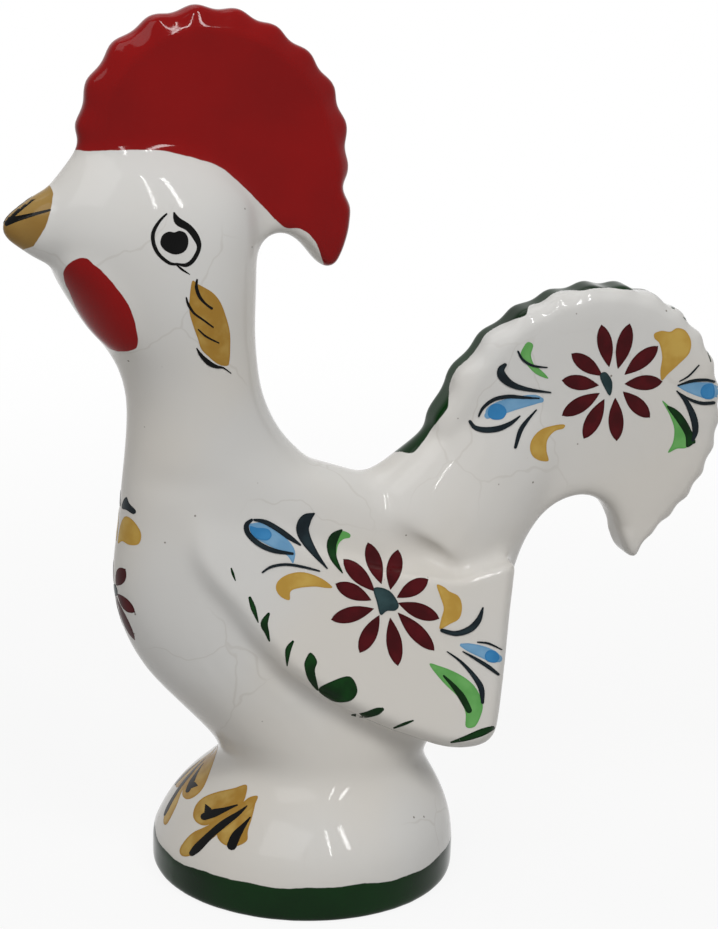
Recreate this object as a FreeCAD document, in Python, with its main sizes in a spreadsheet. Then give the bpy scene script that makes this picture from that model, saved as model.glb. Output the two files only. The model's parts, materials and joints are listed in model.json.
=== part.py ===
import FreeCAD, Part
import math
import os
import Sketcher

from FreeCAD import Vector

# Ornamental ceramic rooster on a round foot, facing -X, standing on Z = 0.
# The figure is laid out with the centre of its foot at X = 0, and every piece
# is then shifted so that the origin lies under the middle of its length.

# Driving sizes in millimetres, with what each one is
SIZES = [
    ("foot_radius", 31.5, "outer radius of the round foot"),
    ("foot_ring_width", 5.5, "width of the ring that the foot stands on"),
    ("foot_edge_bevel", 1.8, "bevel of the ring's lower outer edge"),
    ("band_height", 7.5, "height of the green band round the foot"),
    ("floor_recess", 2.0, "step from the ring's underside up to the floor"),
    ("floor_thickness", 3.5, "thickness of the floor that closes the foot"),
    ("vent_radius", 5.0, "radius of the drain and vent hole in the floor"),
    ("wall", 3.5, "wall of the cast hollow body"),
    ("waist_height", 25.0, "height of the waist above the foot's flare"),
    ("waist_half_length", 21.0, "half length of the waist, front to back"),
    ("waist_half_width", 19.0, "half width of the waist"),
    ("waist_offset", 3.5, "centre of the waist behind the centre of the foot"),
    ("shoulder_height", 88.0, "height at which the neck leaves the body"),
    ("chest_reach", 41.4, "chest in front of the foot's centre"),
    ("rump_reach", 43.5, "rump behind the foot's centre"),
    ("body_half_width", 18.5, "half width of the belly"),
    ("neck_root_half_length", 19.6, "half length of the neck where it starts"),
    ("neck_root_half_width", 11.6, "half width of the neck where it starts"),
    ("neck_root_offset", 20.1, "centre of the neck's root in front of the foot's centre"),
    ("crown_height", 153.5, "height of the top of the head, where the comb starts"),
    ("face_reach", 58.0, "front of the head in front of the foot's centre"),
    ("nape_reach", 13.6, "back of the neck in front of the foot's centre"),
    ("head_half_width", 13.6, "half width of the head at the cheeks"),
    ("beak_length", 5.8, "how far the beak's tip stands out from the head"),
    ("beak_half_height", 8.8, "half height of the beak at its root"),
    ("beak_half_width", 7.0, "half width of the beak at its root"),
    ("comb_radius", 26.6, "mean radius of the comb's rim"),
    ("comb_forward", 22.6, "centre of the comb's rim in front of the foot's centre"),
    ("comb_rise", 0.5, "centre of the comb's rim below the crown"),
    ("comb_half_thickness", 3.6, "half thickness of the comb's flat faces"),
    ("comb_rim_half_thickness", 1.6, "half thickness of the comb at its rim"),
    ("comb_flute_width", 3.6, "width of the fluted border of the comb"),
    ("comb_scallop_depth", 1.1, "depth of the comb's scallops"),
    ("wattle_half_length", 10.8, "half length of a wattle"),
    ("wattle_half_width", 5.9, "half width of a wattle"),
    ("wattle_rise", 1.2, "how far a wattle stands out from the throat"),
    ("tail_radius", 28.7, "mean radius of the tail's round fan"),
    ("tail_centre_reach", 60.8, "centre of the tail's fan behind the foot's centre"),
    ("tail_centre_height", 93.0, "height of the centre of the tail's fan"),
    ("tail_half_thickness", 5.0, "half thickness of the tail's flat faces"),
    ("tail_rim_half_thickness", 3.0, "half thickness of the tail at its rim"),
    ("tail_flute_width", 2.6, "width of the sloping border of the tail"),
    ("tail_scallop_depth", 1.0, "depth of the tail's scallops"),
    ("tail_root_half_width", 12.5, "half width of the tail where it leaves the rump"),
    ("rim_band_width", 1.9, "width of the green strip on the tail's rim"),
    ("wing_length", 70.2, "length of a wing from its front to its back edge"),
    ("wing_height", 60.0, "height of a wing's outline"),
    ("wing_front_reach", 30.0, "front of a wing in front of the foot's centre"),
    ("wing_bottom_height", 31.0, "height of a wing's lowest point"),
    ("wing_spread", 24.6, "half width over the wings at their lowest point"),
    ("wing_top_half_width", 9.5, "half width over the wings at their top"),
    ("wing_edge_bevel", 2.4, "bevel of a wing's outer edge"),
    ("overrun", 10.0, "how far a cutting shape runs past what it cuts"),
]

doc = FreeCAD.newDocument("rooster")
sheet = doc.addObject("Spreadsheet::Sheet", "sizes")
for row, (alias, value, note) in enumerate(SIZES, start=1):
    sheet.set(f"A{row}", note)
    sheet.set(f"B{row}", str(value))
    sheet.setAlias(f"B{row}", alias)
doc.recompute()


def size(alias):
    return float(sheet.get(alias))


def bind(thing, **expressions):
    for name, expression in expressions.items():
        thing.setExpression(name.replace("__", "."), expression)


# Section tables. A row is the share of the height, then the front, the back and
# the widest place as shares of the reach, and the share of the half width.
TORSO_SHARES = [
    (0.08, 0.480, 0.660, 0.070, 0.985),
    (0.21, 0.660, 0.810, 0.000, 0.900),
    (0.33, 0.825, 0.920, -0.145, 0.825),
    (0.46, 0.938, 0.985, -0.290, 0.770),
    (0.59, 0.993, 1.000, -0.386, 0.730),
    (0.71, 1.000, 0.870, -0.459, 0.695),
    (0.84, 0.976, 0.600, -0.507, 0.665),
    (0.94, 0.966, 0.260, -0.531, 0.640),
]
HEAD_SHARES = [
    (0.05, 0.678, 0.300, 0.400, 0.845),
    (0.12, 0.672, 0.590, 0.415, 0.840),
    (0.23, 0.672, 0.850, 0.430, 0.845),
    (0.34, 0.709, 0.955, 0.450, 0.880),
    (0.44, 0.785, 1.000, 0.480, 0.940),
    (0.55, 0.862, 1.000, 0.500, 0.995),
    (0.66, 0.945, 1.000, 0.517, 1.000),
    (0.75, 1.000, 1.000, 0.534, 0.965),
    (0.83, 0.982, 1.030, 0.552, 0.870),
    (0.89, 0.937, 1.150, 0.570, 0.740),
    (0.95, 0.888, 1.450, 0.590, 0.550),
    (1.00, 0.856, 1.900, 0.621, 0.300),
]
# Flare of the foot: shares of the way up to the waist, and of the way in to it at the back and front
PEDESTAL_SHARES = [(0.26, 0.12, 0.19), (0.49, 0.33, 0.40), (0.69, 0.59, 0.66), (0.86, 0.84, 0.88)]
# Crest outline behind and below the scalloped rim, as shares of the comb's radius
LOBE_SHARES = [
    (1.040, -0.480), (1.030, -0.620), (1.000, -0.790), (0.965, -0.890), (0.910, -0.930),
    (0.850, -0.915), (0.790, -0.850), (0.730, -0.760), (0.660, -0.690), (0.560, -0.640),
    (0.460, -0.650), (0.380, -0.710), (0.335, -0.820), (0.320, -1.000), (0.310, -1.150),
]
# Lower edge of the red glaze, from the back of the crest to its front
GLAZE_SHARES = [
    (0.545, -0.625), (0.440, -0.540), (0.345, -0.465), (0.215, -0.345), (0.065, -0.205),
    (-0.065, -0.105), (-0.195, -0.040), (-0.330, 0.000), (-0.490, 0.018),
]
GLAZE_REACH_SHARES = [(-2.000, 0.018), (-2.000, 2.000), (2.000, 2.000), (2.000, -2.000), (0.545, -2.000)]
# Tip and inner edge of the tail, as shares of its radius
TAIL_TIP_SHARES = [
    (0.385, -1.075), (0.345, -1.065), (0.300, -1.010), (0.262, -0.920), (0.225, -0.810),
    (0.170, -0.690), (0.090, -0.605), (-0.010, -0.560), (-0.130, -0.555), (-0.260, -0.590),
    (-0.390, -0.680), (-0.490, -0.810), (-0.550, -0.960), (-0.600, -1.150),
]
TAIL_SADDLE_SHARES = [(-1.790, -0.330), (-1.600, -0.285), (-1.430, -0.165)]
# Sections of the tail's thick root: its centre, half height and half width
TAIL_ROOT_SHARES = [
    (-1.230, -0.800, 0.720, 1.000),
    (-1.030, -0.560, 0.620, 0.880),
    (-0.830, -0.340, 0.570, 0.700),
    (-0.640, -0.110, 0.560, 0.540),
    (-0.470, 0.080, 0.520, 0.410),
]
# Wing outline as shares of its length and height
WING_SHARES = [
    (0.060, 1.000), (0.022, 0.940), (0.005, 0.860), (0.000, 0.755), (0.012, 0.700), (0.030, 0.658),
    (0.066, 0.600), (0.110, 0.543), (0.187, 0.430), (0.273, 0.318), (0.325, 0.268), (0.380, 0.223),
    (0.490, 0.145), (0.600, 0.080), (0.720, 0.022), (0.760, 0.008), (0.800, 0.000), (0.845, 0.000),
    (0.880, 0.010), (0.905, 0.032), (0.917, 0.062), (0.930, 0.130), (0.953, 0.280),
    (0.973, 0.430), (1.000, 0.600),
]
# Where the wing's side turns in to the body, and where that slope ends inside it
WING_SHOULDER_SHARES = [(0.800, 0.570), (0.570, 0.620), (0.360, 0.710), (0.150, 0.860)]
WING_TOP_SHARES = [(0.800, 0.700), (0.570, 0.780), (0.360, 0.860), (0.150, 0.970)]
# Beak: shares of the way back from its tip, and of its size at the root
BEAK_SHARES = [(0.00, 0.10), (0.05, 0.20), (0.14, 0.32), (0.50, 0.65), (1.00, 1.00)]
BEAK_HEIGHT_SHARE = 0.77
# Section of the head inside which the crest's plate ends
CREST_ROOT_ROW = 6
# Place of a wattle as shares of the reach and half width of one of the head's sections
WATTLE_ROW = 5
WATTLE_PLACE_SHARES = (0.940, 0.525)
# Voids of the shells: which sections of the tables they follow
TORSO_VOID_ROWS = (1, 3, 4, 6)
HEAD_VOID_ROWS = (2, 4, 6, 8)
HEAD_VOID_TOP_SHARE = 0.93

# Facets round a section, and sections added between two rows of a table
SECTION_SIDES = 48
VOID_SIDES = 24
SMALL_SIDES = 32
ADDED_SECTIONS = 1
POINTS_PER_SCALLOP = 7
PLAIN_BORDER_SHARE = 0.25
# Points over which the scalloped border narrows to the plain one
BORDER_EASING = 10

# Angles in degrees. They turn from the tail's side, over the top, to the front.
COMB_SCALLOP_ANGLE = 18.2
COMB_FIRST_PEAK = 171.0
COMB_START = 186.0
COMB_END = -19.0
COMB_OVAL_SHARE = 0.047
COMB_OVAL_TILT = 134.0
TAIL_FIRST_PEAK = 175.3
TAIL_FIRST_PITCH = 17.0
TAIL_LAST_PITCH = 10.4
TAIL_SCALLOPS = 18
TAIL_RIM_START = -0.5
TAIL_RIM_END = 17.5
TAIL_SPREAD_ANGLE = 95.0
TAIL_SPREAD_SHARE = 0.232
TAIL_HOOK_ANGLE = -45.0
TAIL_HOOK_SHARE = 0.08
RIM_BAND_SCALLOPS = 7.0
TAIL_ROOT_LEAN = 56.0
WATTLE_LEAN = 23.0
WATTLE_DIP = 22.0
WATTLE_SWING = 41.0
FULL_TURN = 360.0
# Share of a millimetre by which a flat facet's corners may leave its plane
FLATNESS = 1e-7


def largest(shape):
    return max(shape.Solids, key=lambda solid: solid.Volume)


def cut_all(shape, tools):
    return largest(shape.cut(tools))


def feature(label, shape):
    thing = doc.addObject("Part::Feature", label)
    thing.Label = label
    thing.Shape = shape
    return thing


# One flat facet, or two where four corners don't lie in one plane
def facets(corners):
    first, second, third, fourth = corners
    normal = (second - first).cross(third - first)
    if normal.Length > 0 and abs(normal.normalize().dot(fourth - first)) < FLATNESS:
        return [Part.Face(Part.makePolygon(corners + corners[:1]))]
    return [Part.Face(Part.makePolygon([first, second, third, first])),
            Part.Face(Part.makePolygon([first, third, fourth, first]))]


# Closed solid through rings of as many points each, with a flat face at either end
def skin(rings):
    faces = [Part.Face(Part.makePolygon(ring + ring[:1])) for ring in (rings[0], rings[-1])]
    for lower, upper in zip(rings, rings[1:]):
        for index in range(len(lower)):
            following = (index + 1) % len(lower)
            faces += facets([lower[index], lower[following], upper[following], upper[index]])
    solid = Part.makeSolid(Part.makeShell(faces))
    return solid if solid.Volume > 0 else Part.makeSolid(Part.makeShell(faces).reversed())


# Rows of a table with smoothly eased rows between them
def eased(rows, added=ADDED_SECTIONS):
    result = []
    for index in range(len(rows) - 1):
        before = rows[max(index - 1, 0)]
        start, end = rows[index], rows[index + 1]
        after = rows[min(index + 2, len(rows) - 1)]
        for step in range(added + 1):
            way = step / (added + 1)
            result.append(tuple(
                b + 0.5 * way * (c - a + way * (2 * a - 5 * b + 4 * c - d + way * (3 * (b - c) + d - a)))
                for a, b, c, d in zip(before, start, end, after)))
    return result + [rows[-1]]


# Egg-shaped ring of flat sides. Each side touches the oval square to its own direction,
# so the sides of rings that lie above each other stay parallel.
def egg(front, back, widest, half_width, sides):
    tangents = []
    for side in range(sides):
        turn = 2 * math.pi * (side + 0.5) / sides
        along, across = math.cos(turn), math.sin(turn)
        reach = back - widest if along > 0 else widest - front
        tangents.append((along, across, math.hypot(reach * along, half_width * across) + widest * along))
    ring = []
    for (a, b, c), (d, e, f) in zip(tangents[-1:] + tangents[:-1], tangents):
        cross = a * e - b * d
        ring.append(((c * e - b * f) / cross, (a * f - c * d) / cross))
    return ring


def level_ring(row, sides, inset=0.0):
    height, front, back, widest, half_width = row
    ring = egg(front + inset, back - inset, widest, half_width - inset, sides)
    return [Vector(along, across, height) for along, across in ring]


def waist_row():
    middle = size("waist_offset")
    return (size("waist_height"), middle - size("waist_half_length"),
            middle + size("waist_half_length"), middle, size("waist_half_width"))


def neck_root_row():
    middle = -size("neck_root_offset")
    return (size("shoulder_height"), middle - size("neck_root_half_length"),
            middle + size("neck_root_half_length"), middle, size("neck_root_half_width"))


def torso_row(shares):
    level, front, back, widest, width = shares
    rise = size("shoulder_height") - size("waist_height")
    reach = size("chest_reach")
    return (size("waist_height") + level * rise, -front * reach, back * size("rump_reach"),
            widest * reach, width * size("body_half_width"))


def head_row(shares):
    level, front, back, widest, width = shares
    rise = size("crown_height") - size("shoulder_height")
    reach = size("face_reach")
    return (size("shoulder_height") + level * rise, -front * reach, -back * size("nape_reach"),
            -widest * reach, width * size("head_half_width"))


# Outline in the figure's middle plane from shares of one size about a centre
def placed(shares, centre, scale):
    return [Vector(centre.x + across * scale, 0, centre.z + up * scale) for across, up in shares]


def comb_centre():
    return Vector(-size("comb_forward"), 0, size("crown_height") - size("comb_rise"))


def tail_centre():
    return Vector(size("tail_centre_reach"), 0, size("tail_centre_height"))


def polar(centre, radius, angle):
    turn = math.radians(angle)
    return Vector(centre.x + radius * math.cos(turn), 0, centre.z + radius * math.sin(turn))


def comb_rim(depth):
    steps = int((COMB_START - COMB_END) / COMB_SCALLOP_ANGLE * POINTS_PER_SCALLOP)
    points = []
    for step in range(steps + 1):
        angle = COMB_START + (COMB_END - COMB_START) * step / steps
        oval = math.cos(math.radians(2 * (angle - COMB_OVAL_TILT)))
        wave = math.cos(math.radians((COMB_FIRST_PEAK - angle) / COMB_SCALLOP_ANGLE * FULL_TURN))
        radius = size("comb_radius") * (1 + COMB_OVAL_SHARE * oval) + depth / 2 * wave
        points.append(polar(comb_centre(), radius, angle))
    return points


def tail_angle(scallop):
    shrink = (TAIL_FIRST_PITCH - TAIL_LAST_PITCH) / (2 * TAIL_SCALLOPS)
    return TAIL_FIRST_PEAK - TAIL_FIRST_PITCH * scallop + shrink * scallop ** 2


def tail_point(scallop, depth, inset=0.0):
    angle = tail_angle(scallop)
    spread = max(0.0, (angle - TAIL_SPREAD_ANGLE) / (TAIL_FIRST_PEAK - TAIL_SPREAD_ANGLE))
    hook = max(0.0, (TAIL_HOOK_ANGLE - angle) / (TAIL_HOOK_ANGLE - tail_angle(TAIL_SCALLOPS)))
    growth = 1 + TAIL_SPREAD_SHARE * spread ** 2 + TAIL_HOOK_SHARE * hook ** 2
    wave = math.cos(math.radians(FULL_TURN * scallop))
    radius = size("tail_radius") * growth + depth / 2 * wave - inset
    return polar(tail_centre(), radius, angle)


def tail_rim(depth, last=TAIL_RIM_END, inset=0.0):
    turns = last - TAIL_RIM_START
    steps = int(turns * POINTS_PER_SCALLOP)
    return [tail_point(TAIL_RIM_START + turns * step / steps, depth, inset) for step in range(steps + 1)]


# Each point of an outline moved square to it, towards its inner side
def drawn_in(points, distances):
    moved = []
    for index, (point, distance) in enumerate(zip(points, distances)):
        ahead = points[min(index + 1, len(points) - 1)]
        behind = points[max(index - 1, 0)]
        run = (ahead - behind).normalize()
        moved.append(point + Vector(run.z, 0, -run.x) * distance)
    return moved


def beside(points, side):
    return [point + Vector(0, side, 0) for point in points]


# Flat plate whose edge slopes to its faces. Its outline is a scalloped rim between plain
# stretches, where the slope is narrower, and it closes through points inside the body.
def fluted_plate(before, scalloped, smooth, after, root, border, half_thickness, rim_half_thickness):
    plain = PLAIN_BORDER_SHARE * border
    distances = [plain] * len(before)
    for left in reversed(range(len(scalloped))):
        distances.append(min(border, plain + (border - plain) * left / BORDER_EASING))
    distances += [plain] * len(after)
    outer = before + scalloped + after + root
    inner = drawn_in(before + smooth + after, distances) + root
    return skin([beside(inner, -half_thickness), beside(outer, -rim_half_thickness),
                 beside(outer, rim_half_thickness), beside(inner, half_thickness)])


def prism(points, half_depth):
    return skin([beside(points, -half_depth), beside(points, half_depth)])


# Foot: a ring with a bevelled lower edge, closed by a recessed floor with a vent
def origin_plane(body, role):
    return next(item for item in body.Origin.OriginFeatures if item.Role == role)


def sketch_on(body, name, role, offset=None):
    sketch = body.newObject("Sketcher::SketchObject", name)
    sketch.AttachmentSupport = [(origin_plane(body, role), "")]
    sketch.MapMode = "FlatFace"
    if offset:
        sketch.setExpression("AttachmentOffset.Base.z", offset)
    return sketch


def named_size(sketch, name, expression, *constraint):
    index = sketch.addConstraint(Sketcher.Constraint(*constraint, 1.0))
    sketch.renameConstraint(index, name)
    sketch.setExpression(f"Constraints.{name}", expression)


def make_foot_band():
    body = doc.addObject("PartDesign::Body", "foot_band")
    sketch = sketch_on(body, "ring_profile", "XZ_Plane")
    outer = size("foot_radius")
    inner = outer - size("foot_ring_width")
    bevel = size("foot_edge_bevel")
    top = size("band_height")
    corners = [Vector(inner, 0, 0), Vector(outer - bevel, 0, 0), Vector(outer, bevel, 0),
               Vector(outer, top, 0), Vector(inner, top, 0)]
    for start, end in zip(corners, corners[1:] + corners[:1]):
        sketch.addGeometry(Part.LineSegment(start, end), False)
    for side in range(len(corners)):
        sketch.addConstraint(Sketcher.Constraint("Coincident", side, 2, (side + 1) % len(corners), 1))
    for side in (0, 3):
        sketch.addConstraint(Sketcher.Constraint("Horizontal", side))
    for side in (2, 4):
        sketch.addConstraint(Sketcher.Constraint("Vertical", side))
    sketch.addConstraint(Sketcher.Constraint("PointOnObject", 0, 1, -1))
    named_size(sketch, "outer_radius", "sizes.foot_radius", "DistanceX", -1, 1, 2, 1)
    named_size(sketch, "ring_width", "sizes.foot_ring_width", "DistanceX", 0, 1, 2, 1)
    named_size(sketch, "bevel_width", "sizes.foot_edge_bevel", "DistanceX", 0, 2, 2, 1)
    named_size(sketch, "bevel_height", "sizes.foot_edge_bevel", "DistanceY", 0, 2, 2, 1)
    named_size(sketch, "height", "sizes.band_height", "DistanceY", 0, 2, 2, 2)
    ring = body.newObject("PartDesign::Revolution", "ring")
    ring.Profile = sketch
    ring.ReferenceAxis = (sketch, ["V_Axis"])
    ring.Angle = FULL_TURN
    return body


def make_base_floor():
    body = doc.addObject("PartDesign::Body", "base_floor")
    disc = sketch_on(body, "disc_outline", "XY_Plane", "sizes.floor_recess")
    disc.addGeometry(Part.Circle(Vector(0, 0, 0), Vector(0, 0, 1), size("foot_radius") / 2), False)
    disc.addConstraint(Sketcher.Constraint("Coincident", 0, 3, -1, 1))
    named_size(disc, "disc_radius", "sizes.foot_radius - sizes.foot_ring_width", "Radius", 0)
    floor = body.newObject("PartDesign::Pad", "floor")
    floor.Profile = disc
    bind(floor, Length="sizes.floor_thickness")
    vent = sketch_on(body, "vent_outline", "XY_Plane", "sizes.floor_recess")
    vent.addGeometry(Part.Circle(Vector(0, 0, 0), Vector(0, 0, 1), size("vent_radius")), False)
    vent.addConstraint(Sketcher.Constraint("Coincident", 0, 3, -1, 1))
    named_size(vent, "vent_radius", "sizes.vent_radius", "Radius", 0)
    hole = body.newObject("PartDesign::Pocket", "vent")
    hole.Profile = vent
    hole.Reversed = True
    bind(hole, Length="sizes.floor_thickness + sizes.overrun")
    return body


# A cast shell: the outside less the void, as a cut of the document
def make_shell(label, outside, inside):
    shell = doc.addObject("Part::Cut", label)
    shell.Label = label
    shell.Base = feature(f"{label}_outside", outside)
    shell.Tool = feature(f"{label}_void", inside)
    return shell


# Pedestal: level rings from the foot band in to the waist
def pedestal_row(shares):
    up, inward, front_inward = shares
    waist_front = size("waist_half_length") - size("waist_offset")
    waist_back = size("waist_half_length") + size("waist_offset")
    front = size("foot_radius") * (1 - front_inward) + waist_front * front_inward
    back = size("foot_radius") * (1 - inward) + waist_back * inward
    half_width = size("foot_radius") * (1 - inward) + size("waist_half_width") * inward
    height = size("band_height") * (1 - up) + size("waist_height") * up
    return (height, -front, back, size("waist_offset") * inward, half_width)


def make_pedestal():
    shares = [(0.0, 0.0, 0.0)] + PEDESTAL_SHARES + [(1.0, 1.0, 1.0)]
    outside = skin([level_ring(pedestal_row(row), SECTION_SIDES) for row in eased(shares)])
    levels = [level_ring(pedestal_row(shares[0]), VOID_SIDES, size("foot_ring_width"))]
    levels += [level_ring(pedestal_row(row), VOID_SIDES, size("wall")) for row in shares[2:]]
    return outside, skin(levels)


def make_torso():
    rows = [waist_row()] + [torso_row(row) for row in TORSO_SHARES] + [neck_root_row()]
    outside = skin([level_ring(row, SECTION_SIDES) for row in eased(rows)])
    levels = [waist_row()] + [torso_row(TORSO_SHARES[row]) for row in TORSO_VOID_ROWS]
    inside = skin([level_ring(row, VOID_SIDES, size("wall")) for row in levels + [neck_root_row()]])
    return outside, inside


# Height of the beak's tip, at a fixed share of the way up the neck and head
def beak_height():
    neck_and_head = size("crown_height") - size("shoulder_height")
    return size("shoulder_height") + neck_and_head * BEAK_HEIGHT_SHARE


def crest_plate():
    centre = comb_centre()
    lobe = placed(LOBE_SHARES, centre, size("comb_radius"))
    root = [Vector(-size("face_reach") * HEAD_SHARES[CREST_ROOT_ROW][3], 0, beak_height())]
    return fluted_plate([], comb_rim(size("comb_scallop_depth")), comb_rim(0.0), lobe, root,
                        size("comb_flute_width"), size("comb_half_thickness"),
                        size("comb_rim_half_thickness"))


# Space above the lower edge of the red glaze
def glaze_region():
    edge = placed(GLAZE_SHARES + GLAZE_REACH_SHARES, comb_centre(), size("comb_radius"))
    return prism(edge, size("head_half_width") + size("overrun"))


def head_skin(rise=0.0):
    rows = [neck_root_row()] + [head_row(row) for row in HEAD_SHARES]
    return skin([level_ring(row, SECTION_SIDES, -rise) for row in eased(rows)])


def make_head(crest, region):
    outside = largest(head_skin().fuse(crest).cut(region))
    levels = [neck_root_row()] + [head_row(HEAD_SHARES[row]) for row in HEAD_VOID_ROWS]
    top = head_row((HEAD_VOID_TOP_SHARE,) + HEAD_SHARES[HEAD_VOID_ROWS[-1] + 1][1:])
    inside = skin([level_ring(row, VOID_SIDES, size("wall")) for row in levels + [top]])
    return outside, inside


# Upright oval ring across the figure, leaned back by an angle about its own centre
def upright_ring(centre, half_height, half_width, lean=0.0):
    turn = math.radians(lean)
    ring = egg(-half_height, half_height, 0.0, half_width, SMALL_SIDES)
    return [centre + Vector(-up * math.sin(turn), across, up * math.cos(turn)) for up, across in ring]


def make_beak(head):
    tip = -size("face_reach") - size("beak_length")
    length = 2 * size("beak_length")
    rings = [upright_ring(Vector(tip + back * length, 0, beak_height()),
                          share * size("beak_half_height"), share * size("beak_half_width"))
             for back, share in BEAK_SHARES]
    return cut_all(skin(rings), [head])


# Wattle: an oval pad that follows the side of the throat
def make_wattle(head, beak):
    oval = egg(-size("wattle_half_width"), size("wattle_half_width"), 0.0,
               size("wattle_half_length"), SMALL_SIDES)
    blank = prism([Vector(across, 0, up) for across, up in oval], size("overrun"))
    blank.rotate(Vector(0, 0, 0), Vector(0, 1, 0), -WATTLE_LEAN)
    blank.rotate(Vector(0, 0, 0), Vector(1, 0, 0), WATTLE_DIP)
    blank.rotate(Vector(0, 0, 0), Vector(0, 0, 1), -WATTLE_SWING)
    height, front, _, _, half_width = head_row(HEAD_SHARES[WATTLE_ROW])
    forward, aside = WATTLE_PLACE_SHARES
    blank.translate(Vector(front * forward, -half_width * aside, height))
    return cut_all(head_skin(size("wattle_rise")).common(blank), [head, beak])


def tail_plate():
    radius = size("tail_radius")
    saddle = placed(TAIL_SADDLE_SHARES, tail_centre(), radius)
    tip = placed(TAIL_TIP_SHARES, tail_centre(), radius)
    root = [Vector(0, 0, (size("waist_height") + size("shoulder_height")) / 2)]
    return fluted_plate(saddle, tail_rim(size("tail_scallop_depth")), tail_rim(0.0), tip, root,
                        size("tail_flute_width"), size("tail_half_thickness"),
                        size("tail_rim_half_thickness"))


def tail_root():
    radius = size("tail_radius")
    return skin([upright_ring(tail_centre() + Vector(across, 0, up) * radius, height * radius,
                              width * size("tail_root_half_width"), TAIL_ROOT_LEAN)
                 for across, up, height, width in TAIL_ROOT_SHARES])


# Strip of the tail along its rim, from the saddle over the top
def rim_band():
    inner = tail_rim(size("tail_scallop_depth"), RIM_BAND_SCALLOPS, size("rim_band_width"))
    outer = tail_rim(0.0, RIM_BAND_SCALLOPS, -size("overrun"))
    return prism(outer + inner[::-1], size("tail_root_half_width") + size("overrun"))


def make_tail(blank, body_solids):
    whole = cut_all(blank, body_solids)
    band = rim_band()
    return largest(whole.cut(band)), largest(whole.common(band))


# Wing: its outline, leaning outwards to its lower edge, seated on the body
def make_wing(body_solids):
    corner = Vector(-size("wing_front_reach"), 0, size("wing_bottom_height"))
    length, height = size("wing_length"), size("wing_height")
    lean = (size("wing_spread") - size("wing_top_half_width")) / height
    bevel = size("wing_edge_bevel")

    def drawn(shares):
        return [corner + Vector(along * length, 0, up * height) for along, up in shares]

    def pushed_out(points, less):
        return [point - Vector(0, size("wing_spread") - (point.z - corner.z) * lean - less, 0)
                for point in points]

    outline, shoulder = drawn(WING_SHARES), drawn(WING_SHOULDER_SHARES)
    inset = drawn_in(outline, [-bevel] * len(outline))
    wing = skin([outline + drawn(WING_TOP_SHARES), pushed_out(outline + shoulder, bevel),
                 pushed_out(inset + shoulder, 0.0)])
    return cut_all(wing, body_solids)


def mirrored(label, source):
    copy = doc.addObject("Part::Mirroring", label)
    copy.Label = label
    copy.Source = source
    copy.Normal = Vector(0, 1, 0)
    return copy


foot_band = make_foot_band()
base_floor = make_base_floor()
torso_outside, torso_void = make_torso()
crest = crest_plate()
region = glaze_region()
head_outside, head_void = make_head(crest, region)
comb_shape = largest(crest.common(region))
beak_shape = make_beak(head_outside)
tail_blank = tail_plate().fuse(tail_root())
tail_shape, rim_shape = make_tail(tail_blank, [torso_outside, head_outside])
left_wattle = feature("left_wattle", make_wattle(head_outside, beak_shape))
left_wing = feature("left_wing", make_wing([torso_outside, head_outside, tail_blank]))

nodes = [
    foot_band,
    base_floor,
    make_shell("pedestal", *make_pedestal()),
    make_shell("torso_shell", torso_outside, torso_void),
    make_shell("neck_and_head_shell", head_outside, head_void),
    feature("beak", beak_shape),
    feature("comb", comb_shape),
    left_wattle,
    mirrored("right_wattle", left_wattle),
    left_wing,
    mirrored("right_wing", left_wing),
    feature("tail_fan", tail_shape),
    feature("tail_rim", rim_shape),
]
doc.recompute()

# The origin lies under the middle of the length from beak to tail. A mirrored
# piece moves with its source.
middle = Vector((beak_shape.BoundBox.XMin + tail_shape.BoundBox.XMax) / 2, 0, 0)
for node in nodes:
    if node.TypeId != "Part::Mirroring":
        node.Placement = FreeCAD.Placement(-middle, FreeCAD.Rotation())
doc.recompute()

for thing in doc.Objects:
    if "Invalid" in thing.State or "Error" in thing.State:
        raise RuntimeError(f"{thing.Label} did not rebuild: {thing.State}")
for node in nodes:
    if node.Shape.isNull() or not node.Shape.isValid() or not node.Shape.Solids:
        raise RuntimeError(f"{node.Label} has no valid solid")

os.makedirs("parts", exist_ok=True)
for node in nodes:
    node.Shape.exportStep(f"parts/{node.Label}.step")
    box = node.Shape.BoundBox
    print(f"{node.Label}: {len(node.Shape.Solids)} solid, {node.Shape.Volume:.0f} mm3, "
          f"{box.XMin:.1f} {box.XMax:.1f} {box.YMin:.1f} {box.YMax:.1f} {box.ZMin:.1f} {box.ZMax:.1f}")
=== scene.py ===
import json
import math

import bpy
import numpy as np
import openvdb
from mathutils import Matrix, Vector
from mathutils.bvhtree import BVHTree
from mathutils.geometry import delaunay_2d_cdt

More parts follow.
